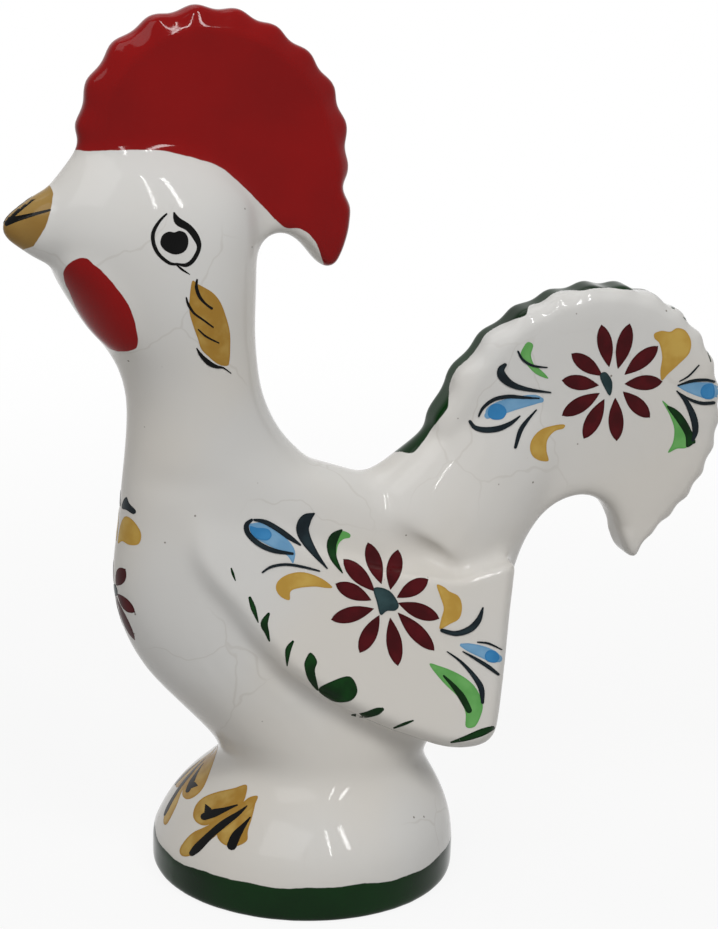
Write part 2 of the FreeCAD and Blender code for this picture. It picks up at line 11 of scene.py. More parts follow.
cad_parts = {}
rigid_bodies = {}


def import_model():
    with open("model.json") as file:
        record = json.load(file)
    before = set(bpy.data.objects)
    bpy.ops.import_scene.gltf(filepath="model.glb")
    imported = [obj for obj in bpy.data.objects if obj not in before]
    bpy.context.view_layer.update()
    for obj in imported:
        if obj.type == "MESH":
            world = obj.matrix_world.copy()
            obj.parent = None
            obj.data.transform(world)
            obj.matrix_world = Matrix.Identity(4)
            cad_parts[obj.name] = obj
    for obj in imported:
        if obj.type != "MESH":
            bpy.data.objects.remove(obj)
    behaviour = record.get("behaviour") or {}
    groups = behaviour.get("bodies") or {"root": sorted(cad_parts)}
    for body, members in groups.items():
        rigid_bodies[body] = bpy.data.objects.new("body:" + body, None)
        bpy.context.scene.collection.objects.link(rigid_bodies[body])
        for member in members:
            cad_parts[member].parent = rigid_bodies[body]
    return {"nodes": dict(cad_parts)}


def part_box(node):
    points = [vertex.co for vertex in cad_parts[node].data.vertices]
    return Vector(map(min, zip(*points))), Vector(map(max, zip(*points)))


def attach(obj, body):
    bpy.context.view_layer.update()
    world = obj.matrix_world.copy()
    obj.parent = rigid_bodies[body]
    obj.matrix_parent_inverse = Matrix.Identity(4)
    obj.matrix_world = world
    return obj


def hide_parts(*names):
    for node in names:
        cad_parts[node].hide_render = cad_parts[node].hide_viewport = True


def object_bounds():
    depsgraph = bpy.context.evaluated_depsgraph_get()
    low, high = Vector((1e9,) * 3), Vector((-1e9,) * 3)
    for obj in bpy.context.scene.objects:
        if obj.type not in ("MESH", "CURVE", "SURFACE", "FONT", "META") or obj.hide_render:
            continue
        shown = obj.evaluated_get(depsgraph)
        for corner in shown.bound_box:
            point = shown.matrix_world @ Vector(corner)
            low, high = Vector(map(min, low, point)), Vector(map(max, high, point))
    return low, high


# Glazed, hand-painted ceramic rooster. The cast body is one smooth skin over the frame's
# solids, split again into a piece for each of them, with the enamel painting laid on it.
# Lengths are in metres unless a name, or the comment above it, says otherwise.
for startup_object in list(bpy.data.objects):
    bpy.data.objects.remove(startup_object)
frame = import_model()
CAD_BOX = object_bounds()
MM = 0.001

# The photograph's frame and the camera that fits it
PHOTO_WIDTH = 718
PHOTO_HEIGHT = 929
SENSOR_MM = 36.0
LENS_MM = 106.43
CAMERA_AZIMUTH = 20.0
CAMERA_ELEVATION = 17.0
CAMERA_ROLL = 2.0
CAMERA_DISTANCE = 0.560
FOOT_CENTRE = (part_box("foot_band")[0].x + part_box("foot_band")[1].x) / 2
FOCAL_PIXELS = LENS_MM / SENSOR_MM * PHOTO_HEIGHT
TARGET_BEHIND_FOOT = 0.00983
TARGET_HEIGHT = 0.08637
TARGET = Vector((FOOT_CENTRE + TARGET_BEHIND_FOOT, 0.0, TARGET_HEIGHT))

# Smooth skin: spacing and width of its grid, filling of the creases, and softening of the facets
VOXEL_MM = 0.5
BAND_VOXELS = 8
CREASE_RADIUS_MM = 2.0
SPARE_VOXELS = 3
SOFT_BLUR_MM = 1.5
FINE_BLUR_MM = 0.6
BLUR_REACH = 3
SURFACE_STEPS = 2
FLOOR_TOP_MM = 4.0
FOOT_EDGE_MM = 0.1
# Where the edges stay sharp, in mm: the hubs of the fans, and the spans over which the sharpness
# comes on, counted from a hub, from an end of a node's box, or from 0
COMB_HUB_BACK = 1.0
COMB_HUB_DOWN = 27.0
COMB_EDGE_REACH = (17.0, 22.0)
COMB_EDGE_BOTTOM = (-6.0, 0.0)
COMB_EDGE_TOP = (0.0, 5.0)
COMB_EDGE_REAR = (-14.0, -8.0)
TAIL_HUB_FRONT = 29.0
TAIL_HUB_DOWN = 27.0
TAIL_EDGE_REACH = (24.0, 27.5)
TAIL_EDGE_SLANT = 0.62
TAIL_EDGE_ABOVE = (0.0, 8.0)
TAIL_EDGE_FRONT = (-2.0, 3.0)
TAIL_EDGE_TIP = (-4.0, 2.0)
BEAK_EDGE_BACK = (-3.0, 4.0)
BEAK_EDGE_LEVEL = (100.0, 110.0)
FOOT_EDGE_LEVEL = (4.0, 12.0)
WING_EDGE_SHARE = 0.95
WING_EDGE_START = (-4.0, 0.0)
WING_EDGE_END = (0.0, 4.0)
WING_EDGE_TOP = (-16.0, 0.0)
WING_EDGE_ASIDE = (9.0, 13.0)
# Thickness of the glaze, and the spans over which it comes on or ends, in mm
GLAZE_MM = 0.08
GLAZE_START = (8.0, 12.0)
COMB_GLAZE_MM = 0.6
COMB_GLAZE_REAR = (-20.0, -6.0)
COMB_GLAZE_BOTTOM = (0.0, 8.0)
COMB_GLAZE_TOP = (-14.0, -4.0)
COMB_GLAZE_END = (2.0, 8.0)
# White strip between the wattles, and the strip at the middle line that the painting leaves free
THROAT_GAP_MM = 1.4
MIDDLE_GAP_MM = 0.25
# Node left as bare clay, and slot names by enamel colour, kept on each enamel but given to no piece
UNGLAZED_NODE = "base_floor"
DEFAULT_SLOT = "white_glaze"
ENAMEL_SLOT = {
    "wine": "red_glaze", "leaf": "green_glaze", "moss": "green_glaze", "yellow": "ochre_enamel",
    "ochre": "ochre_enamel",
}

# The photograph and the enlarged crops that the painting was read from: corner and enlargement
WHOLE_PHOTO = (0, 0, 1.0)
HEAD_CROP = (60, 150, 6.031)
TAIL_CROP = (380, 250, 4.48)
WING_CROP = (200, 450, 4.612)
FOOT_CROP = (120, 700, 4.126)
# Scale of the photograph, the greatest depth inside a colour, and how fine the curves are
PIXELS_PER_MM = 4.905
DEPTH_LIMIT_MM = 5.0
CURVE_STEPS = 5
SHORTEST_RUN = 1e-9

# Coloured glazes, in pixels of their crops. Lower edge of the red comb, closed far above it
COMB_LINE = [
    (30, 149), (74, 150), (87, 151), (121, 150), (155, 150), (174, 153), (194, 158), (216, 165),
    (233, 177), (254, 197), (269, 213), (284, 227), (300, 229), (311, 236), (319, 250), (325, 272),
    (329, 300), (400, 300), (400, -80), (30, -80),
]
WATTLE_OUTLINE = [
    (25, 720), (60, 680), (110, 655), (165, 655), (200, 690), (260, 735), (330, 820), (400, 910),
    (440, 1000), (465, 1100), (468, 1180), (440, 1205), (380, 1215), (300, 1200), (220, 1130),
    (170, 1080), (110, 980), (60, 870), (25, 780),
]
BEAK_OUTLINE = [
    (51, 188), (52, 203), (46, 225), (36, 242), (25, 249), (-40, 262), (-40, 180), (30, 170),
]
# Green glaze on the tail's edge, closed outside it
TAIL_EDGE_OUTLINE = [
    (100, 905), (150, 907), (190, 862), (240, 790), (300, 712), (308, 650), (316, 590), (345, 532),
    (400, 482), (440, 430), (480, 372), (530, 340), (600, 312), (655, 290), (668, 250), (720, 234),
    (780, 192), (840, 180), (900, 182), (960, 172), (1040, 170), (1100, 178), (1180, 178),
    (1230, 200), (1290, 236), (1325, 258), (1340, 40), (1000, -60), (700, 0),
    (400, 160), (120, 500), (20, 860),
]
# Painting, in pixels of its crops. Petals: tip and root of each; strokes: points of the middle
# line with the width there; blobs: outlines; profile of a petal: place along it and share of width
PETAL_PROFILE = [
    (0.0, 0.10), (0.08, 0.48), (0.24, 0.86), (0.45, 1.0), (0.66, 0.84), (0.86, 0.44), (1.0, 0.06),
]
TAIL_PETAL_WIDTH = 68
TAIL_PETALS = [
    ((993, 338), (1026, 522)), ((1118, 333), (1066, 530)), ((1243, 433), (1097, 557)),
    ((1262, 590), (1098, 600)), ((1207, 748), (1090, 636)), ((1060, 852), (1054, 664)),
    ((914, 842), (1004, 670)), ((818, 740), (982, 642)), ((818, 584), (978, 606)),
    ((860, 466), (994, 562)),
]
TAIL_HEART = [(985, 560), (1012, 548), (1040, 592), (1030, 652), (1000, 606)]
WING_PETAL_WIDTH = 72
WING_PETALS = [
    ((775, 430), (836, 616)), ((912, 463), (878, 642)), ((1050, 598), (910, 680)),
    ((1100, 776), (916, 706)), ((1078, 922), (914, 752)), ((912, 992), (877, 776)),
    ((738, 932), (826, 764)), ((608, 782), (800, 732)), ((628, 618), (788, 692)),
    ((664, 506), (804, 650)),
]
WING_HEART = [
    (800, 642), (832, 634), (880, 655), (916, 712), (900, 740), (862, 742), (832, 760), (815, 700),
]
TAIL_SKY_STROKES = [
    [(722, 672, 24), (690, 670, 44), (620, 684, 56), (550, 704, 62), (500, 728, 58), (482, 742, 30)],
    [(1335, 608, 8), (1370, 612, 40), (1430, 624, 64), (1478, 632, 76), (1496, 634, 60)],
]
TAIL_BLUE_BLOBS = [
    [(482, 725), (498, 695), (530, 688), (558, 704), (566, 730), (548, 756), (512, 760), (488, 748)],
    [(1436, 626), (1456, 602), (1492, 604), (1496, 654), (1464, 668), (1440, 654)],
]
TAIL_INK_STROKES = [
    [(442, 744, 8), (462, 706, 13), (510, 670, 16), (575, 656, 17), (640, 660, 13), (712, 664, 6)],
    [(403, 768, 14), (425, 795, 20), (470, 806, 26), (530, 800, 26), (585, 776, 18), (626, 744, 6)],
    [(560, 514, 16), (542, 535, 30), (548, 566, 40), (590, 602, 30), (660, 624, 18), (764, 638, 6)],
    [(700, 716, 5), (660, 762, 14), (628, 810, 20), (606, 884, 12)],
    [(1428, 516, 5), (1385, 562, 7), (1342, 588, 4)],
    [(1335, 606, 6), (1400, 586, 13), (1460, 582, 13), (1496, 590, 10)],
    [(1332, 634, 5), (1385, 668, 12), (1440, 686, 15), (1494, 684, 14)],
    [(1330, 632, 6), (1372, 680, 20), (1404, 750, 30), (1412, 810, 26), (1400, 852, 12)],
    [(618, 454, 8), (640, 492, 12), (685, 518, 11), (748, 526, 5)],
]
TAIL_LEAF_BLOBS = [
    [(664, 412), (686, 426), (676, 470), (690, 512), (724, 540), (754, 576), (700, 556), (656, 512),
     (630, 470), (646, 430)],
    [(1264, 676), (1290, 694), (1340, 740), (1385, 800), (1398, 850), (1372, 886), (1330, 890),
     (1290, 908), (1312, 862), (1318, 800), (1296, 736)],
]
TAIL_MOSS_BLOBS = [
    [(1284, 700), (1330, 716), (1374, 768), (1412, 852), (1400, 870), (1372, 882), (1366, 830),
     (1330, 768)],
]
TAIL_YELLOW_BLOBS = [
    [(1230, 374), (1262, 362), (1300, 366), (1330, 350), (1366, 360), (1392, 404), (1386, 460),
     (1340, 510), (1290, 556), (1262, 584), (1256, 540), (1264, 480), (1252, 420), (1230, 396)],
    [(828, 784), (800, 782), (730, 800), (690, 834), (672, 876), (680, 918), (712, 942), (754, 944),
     (746, 900), (750, 850), (782, 812), (820, 800)],
]
WING_SKY_STROKES = [
    [(232, 348, 20), (268, 368, 74), (325, 402, 76), (380, 436, 66), (418, 474, 44), (428, 518, 8)],
    [(1206, 900, 16), (1240, 910, 38), (1300, 930, 54), (1350, 952, 56), (1376, 962, 36)],
]
WING_BLUE_BLOBS = [
    [(228, 352), (262, 358), (312, 364), (330, 392), (312, 416), (272, 412), (240, 390)],
    [(1312, 950), (1330, 924), (1364, 930), (1380, 958), (1362, 980), (1326, 974)],
]
WING_INK_STROKES = [
    [(238, 322, 12), (214, 346, 22), (222, 386, 24), (270, 432, 24), (340, 464, 22), (426, 478, 12)],
    [(250, 322, 10), (300, 332, 22), (360, 366, 24), (410, 402, 24), (462, 438, 8)],
    [(524, 294, 10), (490, 318, 50), (472, 360, 58), (486, 410, 50), (528, 476, 28), (586, 546, 6)],
    [(288, 564, 8), (330, 538, 12), (400, 528, 13), (480, 540, 12), (550, 558, 7)],
    [(1116, 832, 18), (1180, 846, 24), (1244, 826, 30), (1284, 784, 26), (1304, 728, 8)],
    [(1280, 886, 6), (1330, 892, 10), (1390, 920, 5)],
    [(1213, 930, 6), (1270, 962, 14), (1330, 1000, 18), (1374, 1034, 12)],
    [(1140, 930, 5), (1200, 974, 12), (1258, 1036, 20), (1296, 1098, 26), (1302, 1164, 14)],
]
WING_LEAF_BLOBS = [
    [(652, 374), (690, 386), (690, 404), (660, 412), (636, 440), (626, 492), (610, 470), (616, 410)],
    [(1058, 988), (1110, 998), (1180, 1026), (1240, 1064), (1280, 1110), (1304, 1176), (1292, 1232),
     (1266, 1276), (1226, 1276), (1224, 1210), (1190, 1140), (1120, 1070)],
]
WING_MOSS_STROKES = [
    [(652, 370, 10), (622, 398, 40), (606, 440, 44), (616, 500, 30), (656, 566, 6)],
    [(1124, 1042, 10), (1168, 1088, 22), (1208, 1140, 32), (1240, 1200, 28)],
]
WING_YELLOW_BLOBS = [
    [(610, 632), (560, 592), (480, 564), (410, 572), (362, 602), (350, 640), (372, 676), (412, 692),
     (418, 652), (460, 636), (530, 630), (580, 636)],
    [(1092, 622), (1126, 632), (1150, 652), (1192, 674), (1208, 720), (1196, 776), (1150, 804),
     (1106, 826), (1112, 780), (1124, 730), (1108, 676)],
]
HEM_STROKES = [
    [(144, 546, 7), (152, 572, 12), (163, 602, 5)],
    [(230, 682, 14), (246, 730, 24), (268, 794, 6)],
    [(316, 756, 14), (296, 800, 34), (308, 840, 22), (320, 880, 8)],
    [(428, 884, 12), (406, 924, 26), (402, 994, 6)],
    [(700, 1222, 6), (760, 1222, 26), (815, 1206, 34), (840, 1196, 18)],
    [(884, 1286, 6), (940, 1264, 14), (982, 1248, 8)],
    [(1158, 1348, 8), (1230, 1328, 26), (1300, 1302, 34), (1350, 1282, 20)],
]
HEM_BLOBS = [
    [(510, 934), (540, 974), (530, 1020), (546, 1110), (500, 1060), (482, 1000), (486, 968)],
    [(546, 1106), (600, 1070), (690, 1044), (726, 1106), (702, 1152), (650, 1164), (600, 1152)],
]
EYE_BLOBS = [
    [(605, 555), (620, 512), (658, 492), (690, 497), (722, 487), (758, 503), (774, 545), (766, 592),
     (738, 620), (695, 630), (650, 616), (616, 588)],
]
EYE_STROKES = [
    [(642, 386, 12), (598, 432, 18), (562, 500, 24), (566, 570, 24), (600, 634, 22), (660, 682, 20),
     (712, 690, 12)],
    [(688, 380, 12), (712, 430, 46), (776, 470, 42), (822, 530, 40), (838, 590, 26), (806, 660, 26),
     (760, 694, 24), (698, 684, 8)],
    [(700, 690, 8), (738, 722, 14), (782, 750, 5)],
]
CHEEK_BLOBS = [
    [(798, 790), (830, 808), (850, 818), (920, 860), (968, 920), (1002, 1010), (1024, 1100),
     (1026, 1200), (1020, 1282), (1004, 1302), (950, 1290), (895, 1245), (852, 1200), (832, 1140),
     (800, 1050), (780, 970), (784, 870)],
]
CHEEK_STROKES = [
    [(826, 782, 10), (822, 830, 20), (842, 886, 20), (880, 930, 14), (914, 955, 16)],
    [(762, 890, 8), (774, 932, 16), (808, 984, 14), (860, 1022, 12), (922, 1068, 10)],
    [(834, 1082, 9), (880, 1124, 12), (956, 1163, 9)],
    [(824, 1195, 6), (852, 1240, 22), (900, 1286, 30), (948, 1308, 20), (985, 1314, 10),
     (1030, 1346, 5)],
]
BEAK_STROKES = [
    [(5, 221, 9), (16, 212, 5), (45, 190, 2)],
    [(5, 222, 9), (20, 218, 5), (50, 210, 2)],
]
# Painting on the chest, drawn from the front: mm to the side and up from the flower's centre,
# which the photograph shows at this pixel
CHEST_PIXEL = (117, 591)
FRONT_PETAL_WIDTH = 3.0
FRONT_PETALS = [((4.0, 5.5), (0.8, 1.2)), ((5.5, -3.1), (1.2, -0.6)), ((3.3, -9.8), (0.5, -1.5))]
FRONT_HEART = [
    (0.0, 1.1), (1.0, 0.7), (1.3, -0.2), (0.6, -1.2), (-0.6, -1.2), (-1.3, -0.2), (-1.0, 0.7),
]
FRONT_INK_BLOBS = [
    [(0.6, 17.2), (0.8, 18.4), (2.2, 20.0), (3.3, 19.0), (5.0, 18.0), (4.6, 17.1), (2.6, 17.4)],
]
FRONT_YELLOW_BLOBS = [
    [(0.6, 10.0), (0.7, 13.6), (2.4, 16.0), (4.6, 15.8), (6.3, 13.8), (6.2, 11.4), (4.4, 10.7),
     (2.4, 10.9)],
]
TOE_BLOBS = [
    [(522, 350), (470, 364), (400, 380), (345, 402), (312, 436), (302, 478), (318, 506), (352, 518),
     (400, 500), (450, 468), (500, 432), (518, 398)],
    [(568, 396), (530, 404), (488, 440), (430, 482), (350, 524), (300, 548), (262, 588), (246, 622),
     (258, 644), (290, 642), (330, 612), (388, 566), (450, 520), (520, 470), (556, 430)],
    [(562, 404), (540, 440), (490, 480), (440, 520), (402, 548), (410, 580), (442, 602), (486, 602),
     (524, 580), (528, 540), (546, 480)],
]
TOE_LINE_STROKES = [
    [(484, 434, 6), (430, 454, 20), (388, 468, 34), (348, 482, 30)],
    [(354, 432, 4), (362, 450, 26), (368, 468, 40)],
    [(524, 438, 5), (490, 468, 18), (430, 510, 30), (370, 560, 30), (320, 610, 34), (298, 632, 24)],
    [(538, 484, 5), (510, 520, 20), (480, 560, 38), (462, 600, 40)],
]
TAIL_LINE_STROKES = [
    [(1350, 268, 5), (1368, 306, 10), (1412, 344, 7), (1442, 396, 8), (1462, 440, 6), (1482, 500, 4)],
]
# Motif on the middle line, and how the far foot is painted: degrees further round and mm higher
CENTRAL_MOTIF = "chest_heart"
FAR_FOOT_MOTIFS = ("toes", "toe_lines")
FAR_FOOT_TURN = 15.0
FAR_FOOT_RISE_MM = 2.5
# Round ends of the strokes, fill of the outlines in pixels, and relief of the enamel
ROUND_END_ANGLES = [36, 72, 108, 144]
FILL_SPACING = 2.2
FILL_INSIDE_ONLY = 1
FILL_MERGE = 1e-5
LONGEST_SPAN_MM = 3.0
ENAMEL_LIFT_MM = 0.04
ENAMEL_LAYER_MM = 0.06
ENAMEL_PILLOW_MM = 0.04
ENAMEL_EDGE_MM = 0.4
ENAMEL_SUNK_MM = 0.15

COLOURS = {
    "white": (0.600, 0.578, 0.540), "white_cool": (0.592, 0.588, 0.574),
    "speck": (0.10, 0.08, 0.06), "stain": (0.30, 0.26, 0.21),
    "red": (0.235, 0.0005, 0.0004), "red_deep": (0.200, 0.0004, 0.0004),
    "green": (0.0012, 0.026, 0.0028), "green_deep": (0.0006, 0.012, 0.0012),
    "beak": (0.30, 0.19, 0.055), "beak_deep": (0.22, 0.115, 0.020),
    "wine": (0.075, 0.0015, 0.004), "wine_deep": (0.045, 0.0006, 0.002),
    "teal": (0.028, 0.060, 0.065), "teal_deep": (0.012, 0.030, 0.034),
    "ink": (0.012, 0.024, 0.030), "ink_deep": (0.005, 0.010, 0.014),
    "sky": (0.17, 0.34, 0.52), "sky_deep": (0.13, 0.29, 0.47),
    "blue": (0.045, 0.22, 0.46), "blue_deep": (0.030, 0.18, 0.40),
    "leaf": (0.14, 0.38, 0.11), "leaf_deep": (0.10, 0.32, 0.08),
    "moss": (0.002, 0.042, 0.004), "moss_deep": (0.001, 0.018, 0.002),
    "yellow": (0.50, 0.33, 0.075), "yellow_deep": (0.42, 0.25, 0.045),
    "ochre": (0.44, 0.29, 0.075), "ochre_deep": (0.33, 0.18, 0.028),
    "black": (0.002, 0.002, 0.002), "black_deep": (0.001, 0.001, 0.001),
    "clay": (0.52, 0.46, 0.38), "clay_deep": (0.42, 0.36, 0.29),
    "floor": (0.56, 0.555, 0.55), "floor_cool": (0.53, 0.535, 0.54),
    "room": (1.0, 0.968, 0.925), "backdrop": (1.0, 1.0, 1.0),
}
# Patterns: noises have a scale and a detail, spans a start and an end
MOTTLE_NOISE = (22.0, 2.0)
MOTTLE_SPAN = (0.35, 0.65)
PINHOLE_SCALE = 170.0
PINHOLE_SPAN = (0.052, 0.026)
PINHOLE_SHARE = 0.8
CRACK_BEND_NOISE = (70.0, 3.0)
CRACK_BEND = (0.012, 0.012, 0.012)
CRACK_SCALE = 38.0
CRACK_SPAN = (0.011, 0.003)
CRACK_PATCH_NOISE = (26.0, 1.0)
CRACK_PATCH_SPAN = (0.52, 0.62)
CRACK_SHARE = 0.16
BORDER_NOISE = (420.0, 2.0)
BORDER_NOISE_MIDDLE = 0.5
BORDER_WAVER_MM = 0.35
BORDER_SPAN_MM = (-0.08, 0.08)
AREA_NOISE = (45.0, 3.0)
AREA_SPAN = (0.35, 0.7)
WAVE_NOISE = (55.0, 1.0)
RIPPLE_NOISE = (260.0, 2.0)
RIPPLE_SHARE = 0.05
STREAK_NOISE = (180.0, 3.0)
STREAK_SPAN = (0.38, 0.66)
STREAK_EDGE_MM = (0.0, 0.5)
ENAMEL_BUMP_NOISE = (900.0, 2.0)
CLAY_NOISE = (900.0, 4.0)
CLAY_SPAN = (0.3, 0.7)
FLOOR_NOISE = (6.0, 2.0)
FLOOR_SPAN = (0.3, 0.7)
# Surfaces: strength and depth of the bumps, roughness and specular level
GLAZE_BUMP = (0.25, 0.001)
GLAZE_ROUGHNESS = 0.06
GLAZE_SPECULAR = 0.12
ENAMEL_BUMP = (0.05, 0.0004)
ENAMEL_ROUGHNESS = 0.09
ENAMEL_SPECULAR = 0.10
CLAY_BUMP = (0.3, 0.0003)
CLAY_ROUGHNESS = 0.85

# Studio: pale floor, soft room light, and softboxes at the camera's left, above it and overhead
FLOOR_REACH = 3.0
FLOOR_GLOW_SHARE = 0.9
FLOOR_FADE_START = 0.10
FLOOR_FADE_END = 0.45
ROOM_STRENGTH = 0.28
BACKDROP_STRENGTH = 1.0
LAMPS = [
    ("key", (-0.50, -0.50, 0.90), (0.0, 0.0, 0.10), 0.60, 0.60, 3.9),
    ("narrow_window", (0.03, -0.64, 0.75), (-0.04, 0.0, 0.12), 0.020, 0.45, 1.3),
    ("wide_window", (0.21, -0.60, 0.75), (-0.04, 0.0, 0.12), 0.045, 0.38, 2.2),
    ("top", (-0.10, 0.25, 0.95), (0.0, 0.0, 0.10), 0.60, 0.60, 2.0),
]
# Upper edge of the green band on the foot, and its waves: size, number round the foot, phase
GREEN_BAND_MM = 7.6
GREEN_WOBBLE_MM = 0.35
GREEN_WAVES = [(1.0, 3, 1.0), (0.6, 7, 0.0), (0.3, 17, 2.0)]


def grid_from(points, triangles=None, quads=None, half_width=BAND_VOXELS):
    lists = {name: np.ascontiguousarray(faces, dtype=np.uint32)
             for name, faces in (("triangles", triangles), ("quads", quads))
             if faces is not None and len(faces)}
    points = np.ascontiguousarray(points, dtype=np.float32)
    transform = openvdb.createLinearTransform(VOXEL_MM)
    return openvdb.FloatGrid.createLevelSetFromPolygons(
        points, transform=transform, halfWidth=half_width, **lists)


def node_triangles(node):
    mesh = frame["nodes"][node].data
    mesh.calc_loop_triangles()
    points = np.empty(len(mesh.vertices) * 3, np.float32)
    mesh.vertices.foreach_get("co", points)
    corners = np.empty(len(mesh.loop_triangles) * 3, np.int32)
    mesh.loop_triangles.foreach_get("vertices", corners)
    return points.reshape(-1, 3) / MM, corners.reshape(-1, 3)


# A block of grid values with the place of its first value, in grid steps
class Field:
    def __init__(self):
        low, high = (np.array(corner) / MM for corner in CAD_BOX)
        self.start = np.floor(low / VOXEL_MM).astype(int) - BAND_VOXELS
        end = np.ceil(high / VOXEL_MM).astype(int) + BAND_VOXELS
        self.shape = tuple(end - self.start)

    def read(self, grid):
        values = np.full(self.shape, grid.background, np.float32)
        grid.copyToArray(values, ijk=tuple(int(step) for step in self.start))
        return values

    def write(self, values):
        grid = openvdb.FloatGrid(background=BAND_VOXELS * VOXEL_MM)
        grid.transform = openvdb.createLinearTransform(VOXEL_MM)
        grid.gridClass = openvdb.GridClass.LEVEL_SET
        grid.copyFromArray(values, ijk=tuple(int(step) for step in self.start))
        return grid

    def places(self, axis):
        steps = np.arange(self.shape[axis]) + self.start[axis]
        return (steps * VOXEL_MM).reshape([-1 if other == axis else 1 for other in range(3)])

    def sample(self, values, points_mm):
        at = points_mm / VOXEL_MM - self.start
        base = np.clip(np.floor(at).astype(int), 0, np.array(self.shape) - 2)
        part = at - base
        total = 0.0
        for corner in np.ndindex(2, 2, 2):
            index = base + corner
            weight = np.prod(np.where(np.array(corner) == 1, part, 1 - part), axis=1)
            total = total + weight * values[index[:, 0], index[:, 1], index[:, 2]]
        return total

    def slope(self, values, points_mm):
        columns = []
        for axis in range(3):
            step = np.zeros(3)
            step[axis] = VOXEL_MM / 2
            ahead = self.sample(values, points_mm + step)
            columns.append(ahead - self.sample(values, points_mm - step))
        return np.stack(columns, axis=1) / VOXEL_MM

    # Places moved onto the surface on which the values are 0
    def settled(self, values, points_mm):
        for _ in range(SURFACE_STEPS):
            slope = self.slope(values, points_mm)
            size = (slope ** 2).sum(axis=1)
            points_mm = points_mm - slope * (self.sample(values, points_mm) / size)[:, None]
        return points_mm


def blurred(values, radius_mm):
    reach = int(math.ceil(BLUR_REACH * radius_mm / VOXEL_MM))
    steps = np.arange(-reach, reach + 1) * VOXEL_MM
    weights = np.exp(-0.5 * (steps / radius_mm) ** 2)
    weights = (weights / weights.sum()).astype(np.float32)
    for axis in range(3):
        result = np.zeros_like(values)
        for offset, weight in zip(range(-reach, reach + 1), weights):
            result += weight * np.roll(values, offset, axis=axis)
        values = result
    return values


def eased(value, low, high):
    share = np.clip((value - low) / (high - low), 0.0, 1.0)
    return share * share * (3 - 2 * share)


# Share that goes from 0 to 1 over a span counted from a mark
def coming_on(value, mark, span):
    return eased(value, mark + span[0], mark + span[1])


def box_mm(node):
    return [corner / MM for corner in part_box(node)]


def comb_edge(x, z):
    low, high = box_mm("comb")
    hub_x = (low.x + high.x) / 2 + COMB_HUB_BACK
    hub_z = high.z - COMB_HUB_DOWN
    reach = np.hypot(x - hub_x, z - hub_z)
    rim = coming_on(reach, 0.0, COMB_EDGE_REACH) * coming_on(z, low.z, COMB_EDGE_BOTTOM)
    return rim * np.maximum(coming_on(z, hub_z, COMB_EDGE_TOP), coming_on(x, high.x, COMB_EDGE_REAR))


def tail_edge(x, z):
    high = box_mm("tail_fan")[1]
    rim_low = box_mm("tail_rim")[0]
    hub_x = high.x - TAIL_HUB_FRONT
    hub_z = high.z - TAIL_HUB_DOWN
    rim = coming_on(np.hypot(x - hub_x, z - hub_z), 0.0, TAIL_EDGE_REACH)
    above = coming_on(TAIL_EDGE_SLANT * (x - rim_low.x) + z - rim_low.z, 0.0, TAIL_EDGE_ABOVE)
    above = above * coming_on(x, rim_low.x, TAIL_EDGE_FRONT)
    return rim * np.maximum(above, coming_on(x, hub_x, TAIL_EDGE_TIP))


def beak_edge(x, z):
    back = box_mm("beak")[1].x
    return (1 - coming_on(x, back, BEAK_EDGE_BACK)) * coming_on(z, 0.0, BEAK_EDGE_LEVEL)


def wing_edge(x, aside, z):
    low, high = box_mm("left_wing")
    edge = coming_on(x, low.x, WING_EDGE_START) * coming_on(z, low.z, WING_EDGE_START)
    edge = edge * (1 - coming_on(x, high.x, WING_EDGE_END))
    edge = edge * (1 - coming_on(z, high.z, WING_EDGE_TOP))
    return WING_EDGE_SHARE * edge * coming_on(aside, 0.0, WING_EDGE_ASIDE)


# 1 where the fans, the beak, the foot and the wings need their edges kept, 0 on the rounded body
def edge_share(field):
    x, y, z = (field.places(axis) for axis in range(3))
    foot = 1 - coming_on(z, 0.0, FOOT_EDGE_LEVEL)
    share = np.maximum(np.maximum(comb_edge(x, z), tail_edge(x, z)), foot)
    return np.maximum(np.maximum(share, wing_edge(x, np.abs(y), z)), beak_edge(x, z))


# Extra thickness of the glaze: thin above the foot band, more where the comb's rear flutes are
def glaze_build_up(field):
    x, z = field.places(0), field.places(2)
    low, high = box_mm("comb")
    rear = coming_on(x, high.x, COMB_GLAZE_REAR) * coming_on(z, low.z, COMB_GLAZE_BOTTOM)
    rear = rear * (1 - coming_on(z, high.z, COMB_GLAZE_TOP))
    rear = rear * (1 - coming_on(x, high.x, COMB_GLAZE_END))
    return GLAZE_MM * coming_on(z, 0.0, GLAZE_START) + COMB_GLAZE_MM * rear


# Square lower edge of the foot's ring
def foot_ring(field):
    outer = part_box("foot_band")[1].y / MM - FOOT_EDGE_MM
    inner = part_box("base_floor")[1].y / MM
    reach = np.hypot(field.places(0) - FOOT_CENTRE / MM, field.places(1))
    level = field.places(2)
    ring = np.maximum(reach - outer, inner - reach)
    return np.maximum(ring, np.maximum(2 * FOOT_EDGE_MM - level, level - FLOOR_TOP_MM))


# Every solid in one block of values, with the closed hollow inside filled
def solid_union(field):
    union = foot_ring(field).astype(np.float32)
    for node in frame["nodes"]:
        points, triangles = node_triangles(node)
        values = field.read(grid_from(points, triangles=triangles, half_width=SPARE_VOXELS))
        union = np.minimum(union, values, out=union)
    solid = union < 0
    enclosed = np.logical_or.accumulate(solid, axis=1)
    enclosed &= np.logical_or.accumulate(solid[:, ::-1], axis=1)[:, ::-1]
    enclosed &= field.places(2) > FLOOR_TOP_MM
    union[enclosed & ~solid] = -VOXEL_MM
    return union


